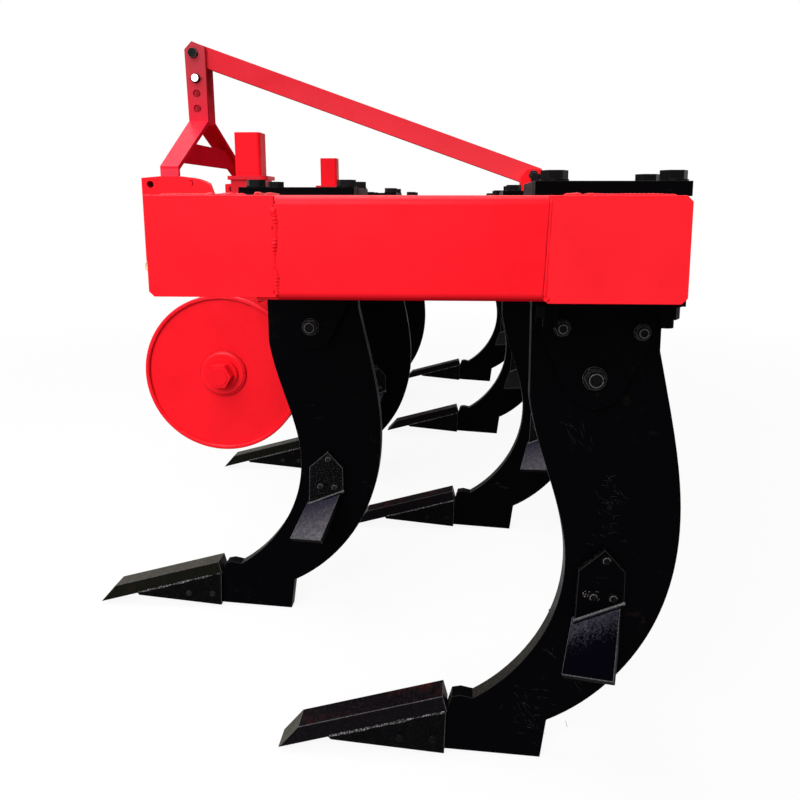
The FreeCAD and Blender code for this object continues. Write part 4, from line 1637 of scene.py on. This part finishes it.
@dataclass
class Studio:
    """The pale floor, the white surroundings, the soft lights and the camera."""

    eye: Triple = (2.776, 0.2985, 0.991)
    yaw: float = math.radians(-2.62)
    pitch: float = math.radians(10.08)
    roll: float = math.radians(0.07)
    lens: float = 34.9
    shift: Span = (-0.0375, -0.075)
    world_level: float = 0.26
    floor_glow: float = 0.91
    floor_reach: float = 60.0

    def build(self) -> None:
        """Sets up the studio."""
        self.camera()
        self.floor()
        self.world()
        self.lamp("overhead", (1.2, -1.2, 4.4), (0, 0, 0.6), 3.6, 150.0)
        self.lamp("near_side", (5.0, -1.2, 2.8), (0.4, 0, 0.6), 2.8, 172.0)
        bpy.context.scene.view_settings.view_transform = "Standard"

    def camera(self) -> None:
        """Stands the camera beside the machine, looking across it."""
        ahead = at(-math.cos(self.yaw), math.sin(self.yaw), 0)
        right = at(math.sin(self.yaw), math.cos(self.yaw), 0)
        up = at(0, 0, 1)
        gaze = ahead * math.cos(self.pitch) - up * math.sin(self.pitch)
        crown = ahead * math.sin(self.pitch) + up * math.cos(self.pitch)
        side = right * math.cos(self.roll) + crown * math.sin(self.roll)
        top = crown * math.cos(self.roll) - right * math.sin(self.roll)
        turn = Matrix((side, top, -gaze)).transposed().to_4x4()
        data = bpy.data.cameras.new("camera")
        data.lens = self.lens
        data.sensor_width = 36.0
        data.shift_x, data.shift_y = self.shift
        data.clip_end = 200.0
        camera = bpy.data.objects.new("camera", data)
        camera.matrix_world = Matrix.Translation(self.eye) @ turn
        bpy.context.scene.collection.objects.link(camera)
        bpy.context.scene.camera = camera

    def floor(self) -> None:
        """Lays a wide pale floor that shows almost white and keeps the machine's shadow."""
        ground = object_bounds()[0][2]
        mesh = bpy.data.meshes.new("floor")
        corners = [(x * self.floor_reach, y * self.floor_reach, ground)
                   for x, y in ((-1, -1), (1, -1), (1, 1), (-1, 1))]
        mesh.from_pydata(corners, [], [(0, 1, 2, 3)])
        floor = bpy.data.objects.new("floor", mesh)
        bpy.context.scene.collection.objects.link(floor)
        sheet = NodeSheet.named("floor")
        rays = sheet.add("LightPath").outputs
        pale = sheet.mix(rays["Is Camera Ray"], (0.5, 0.5, 0.5), (1.0, 1.0, 1.0))
        sheet.dress(Base_Color=pale, Roughness=0.9, Specular_IOR_Level=0.0)
        glow = sheet.add("Emission", Color=(1, 1, 1, 1))
        away = sheet.add("VectorMath", Vector=sheet.coords)
        away.operation = "LENGTH"
        fade = sheet.band(away.outputs["Value"], 1.6, 4.5, self.floor_glow, 1.0)
        mirrored = sheet.plus(rays["Is Glossy Ray"], rays["Is Transmission Ray"])
        share = sheet.times(sheet.plus(rays["Is Camera Ray"], mirrored), fade)
        blend = sheet.add("MixShader", Fac=share)
        sheet.tree.links.new(sheet.shader.outputs["BSDF"], blend.inputs[1])
        sheet.tree.links.new(glow.outputs["Emission"], blend.inputs[2])
        sheet.fill(sheet.tree.nodes["Material Output"], Surface=blend.outputs["Shader"])
        mesh.materials.append(sheet.owner)
        floor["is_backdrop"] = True

    def world(self) -> None:
        """Surrounds the scene with white for the eye and a plain grey light for the surfaces."""
        world = bpy.data.worlds.new("studio")
        bpy.context.scene.world = world
        sheet = NodeSheet(world)
        rays = sheet.add("LightPath").outputs
        mirrored = sheet.reckon("MAXIMUM", rays["Is Glossy Ray"], rays["Is Transmission Ray"])
        seen = sheet.reckon("MAXIMUM", rays["Is Camera Ray"], mirrored)
        sheet.fill(sheet.tree.nodes["Background"], Color=(1, 1, 1, 1),
                   Strength=sheet.band(seen, 0.0, 1.0, self.world_level, 1.0))

    def lamp(self, name: str, place: Triple, aim: Triple, size: float, power: float) -> None:
        """Hangs a square soft lamp that points at a spot.

        Args:
            name: the lamp's name.
            place: where it hangs.
            aim: what it points at.
            size: its side in metres.
            power: its power in watts.
        """
        data = bpy.data.lights.new(name, "AREA")
        data.energy = power
        data.size = size
        lamp = bpy.data.objects.new(name, data)
        lamp.location = place
        lamp.rotation_euler = (Vector(aim) - Vector(place)).to_track_quat("-Z", "Y").to_euler()
        bpy.context.scene.collection.objects.link(lamp)


def clear_scene() -> None:
    """Removes what a new file holds."""
    for item in list(bpy.data.objects):
        bpy.data.objects.remove(item)


def main() -> None:
    """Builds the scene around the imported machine."""
    logging.basicConfig(level=logging.INFO, format="%(name)s: %(message)s")
    clear_scene()
    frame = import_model()
    Studio().build()
    palette = Palette()
    assemblies = [ToolFrame(palette), Headstock(palette),
                  TineRow(Row.FRONT, palette, (0.0050, 0.0056, 0.0036)),
                  TineRow(Row.REAR, palette, (0.0040, 0.0030, 0.0042)),
                  DepthWheel(Side.LEFT, palette), DepthWheel(Side.RIGHT, palette)]
    for assembly in assemblies:
        for piece in assembly.build(frame):
            LOG.info("%s: %d faces", piece.name, len(piece.data.polygons))


if __name__ == "__main__":
    main()
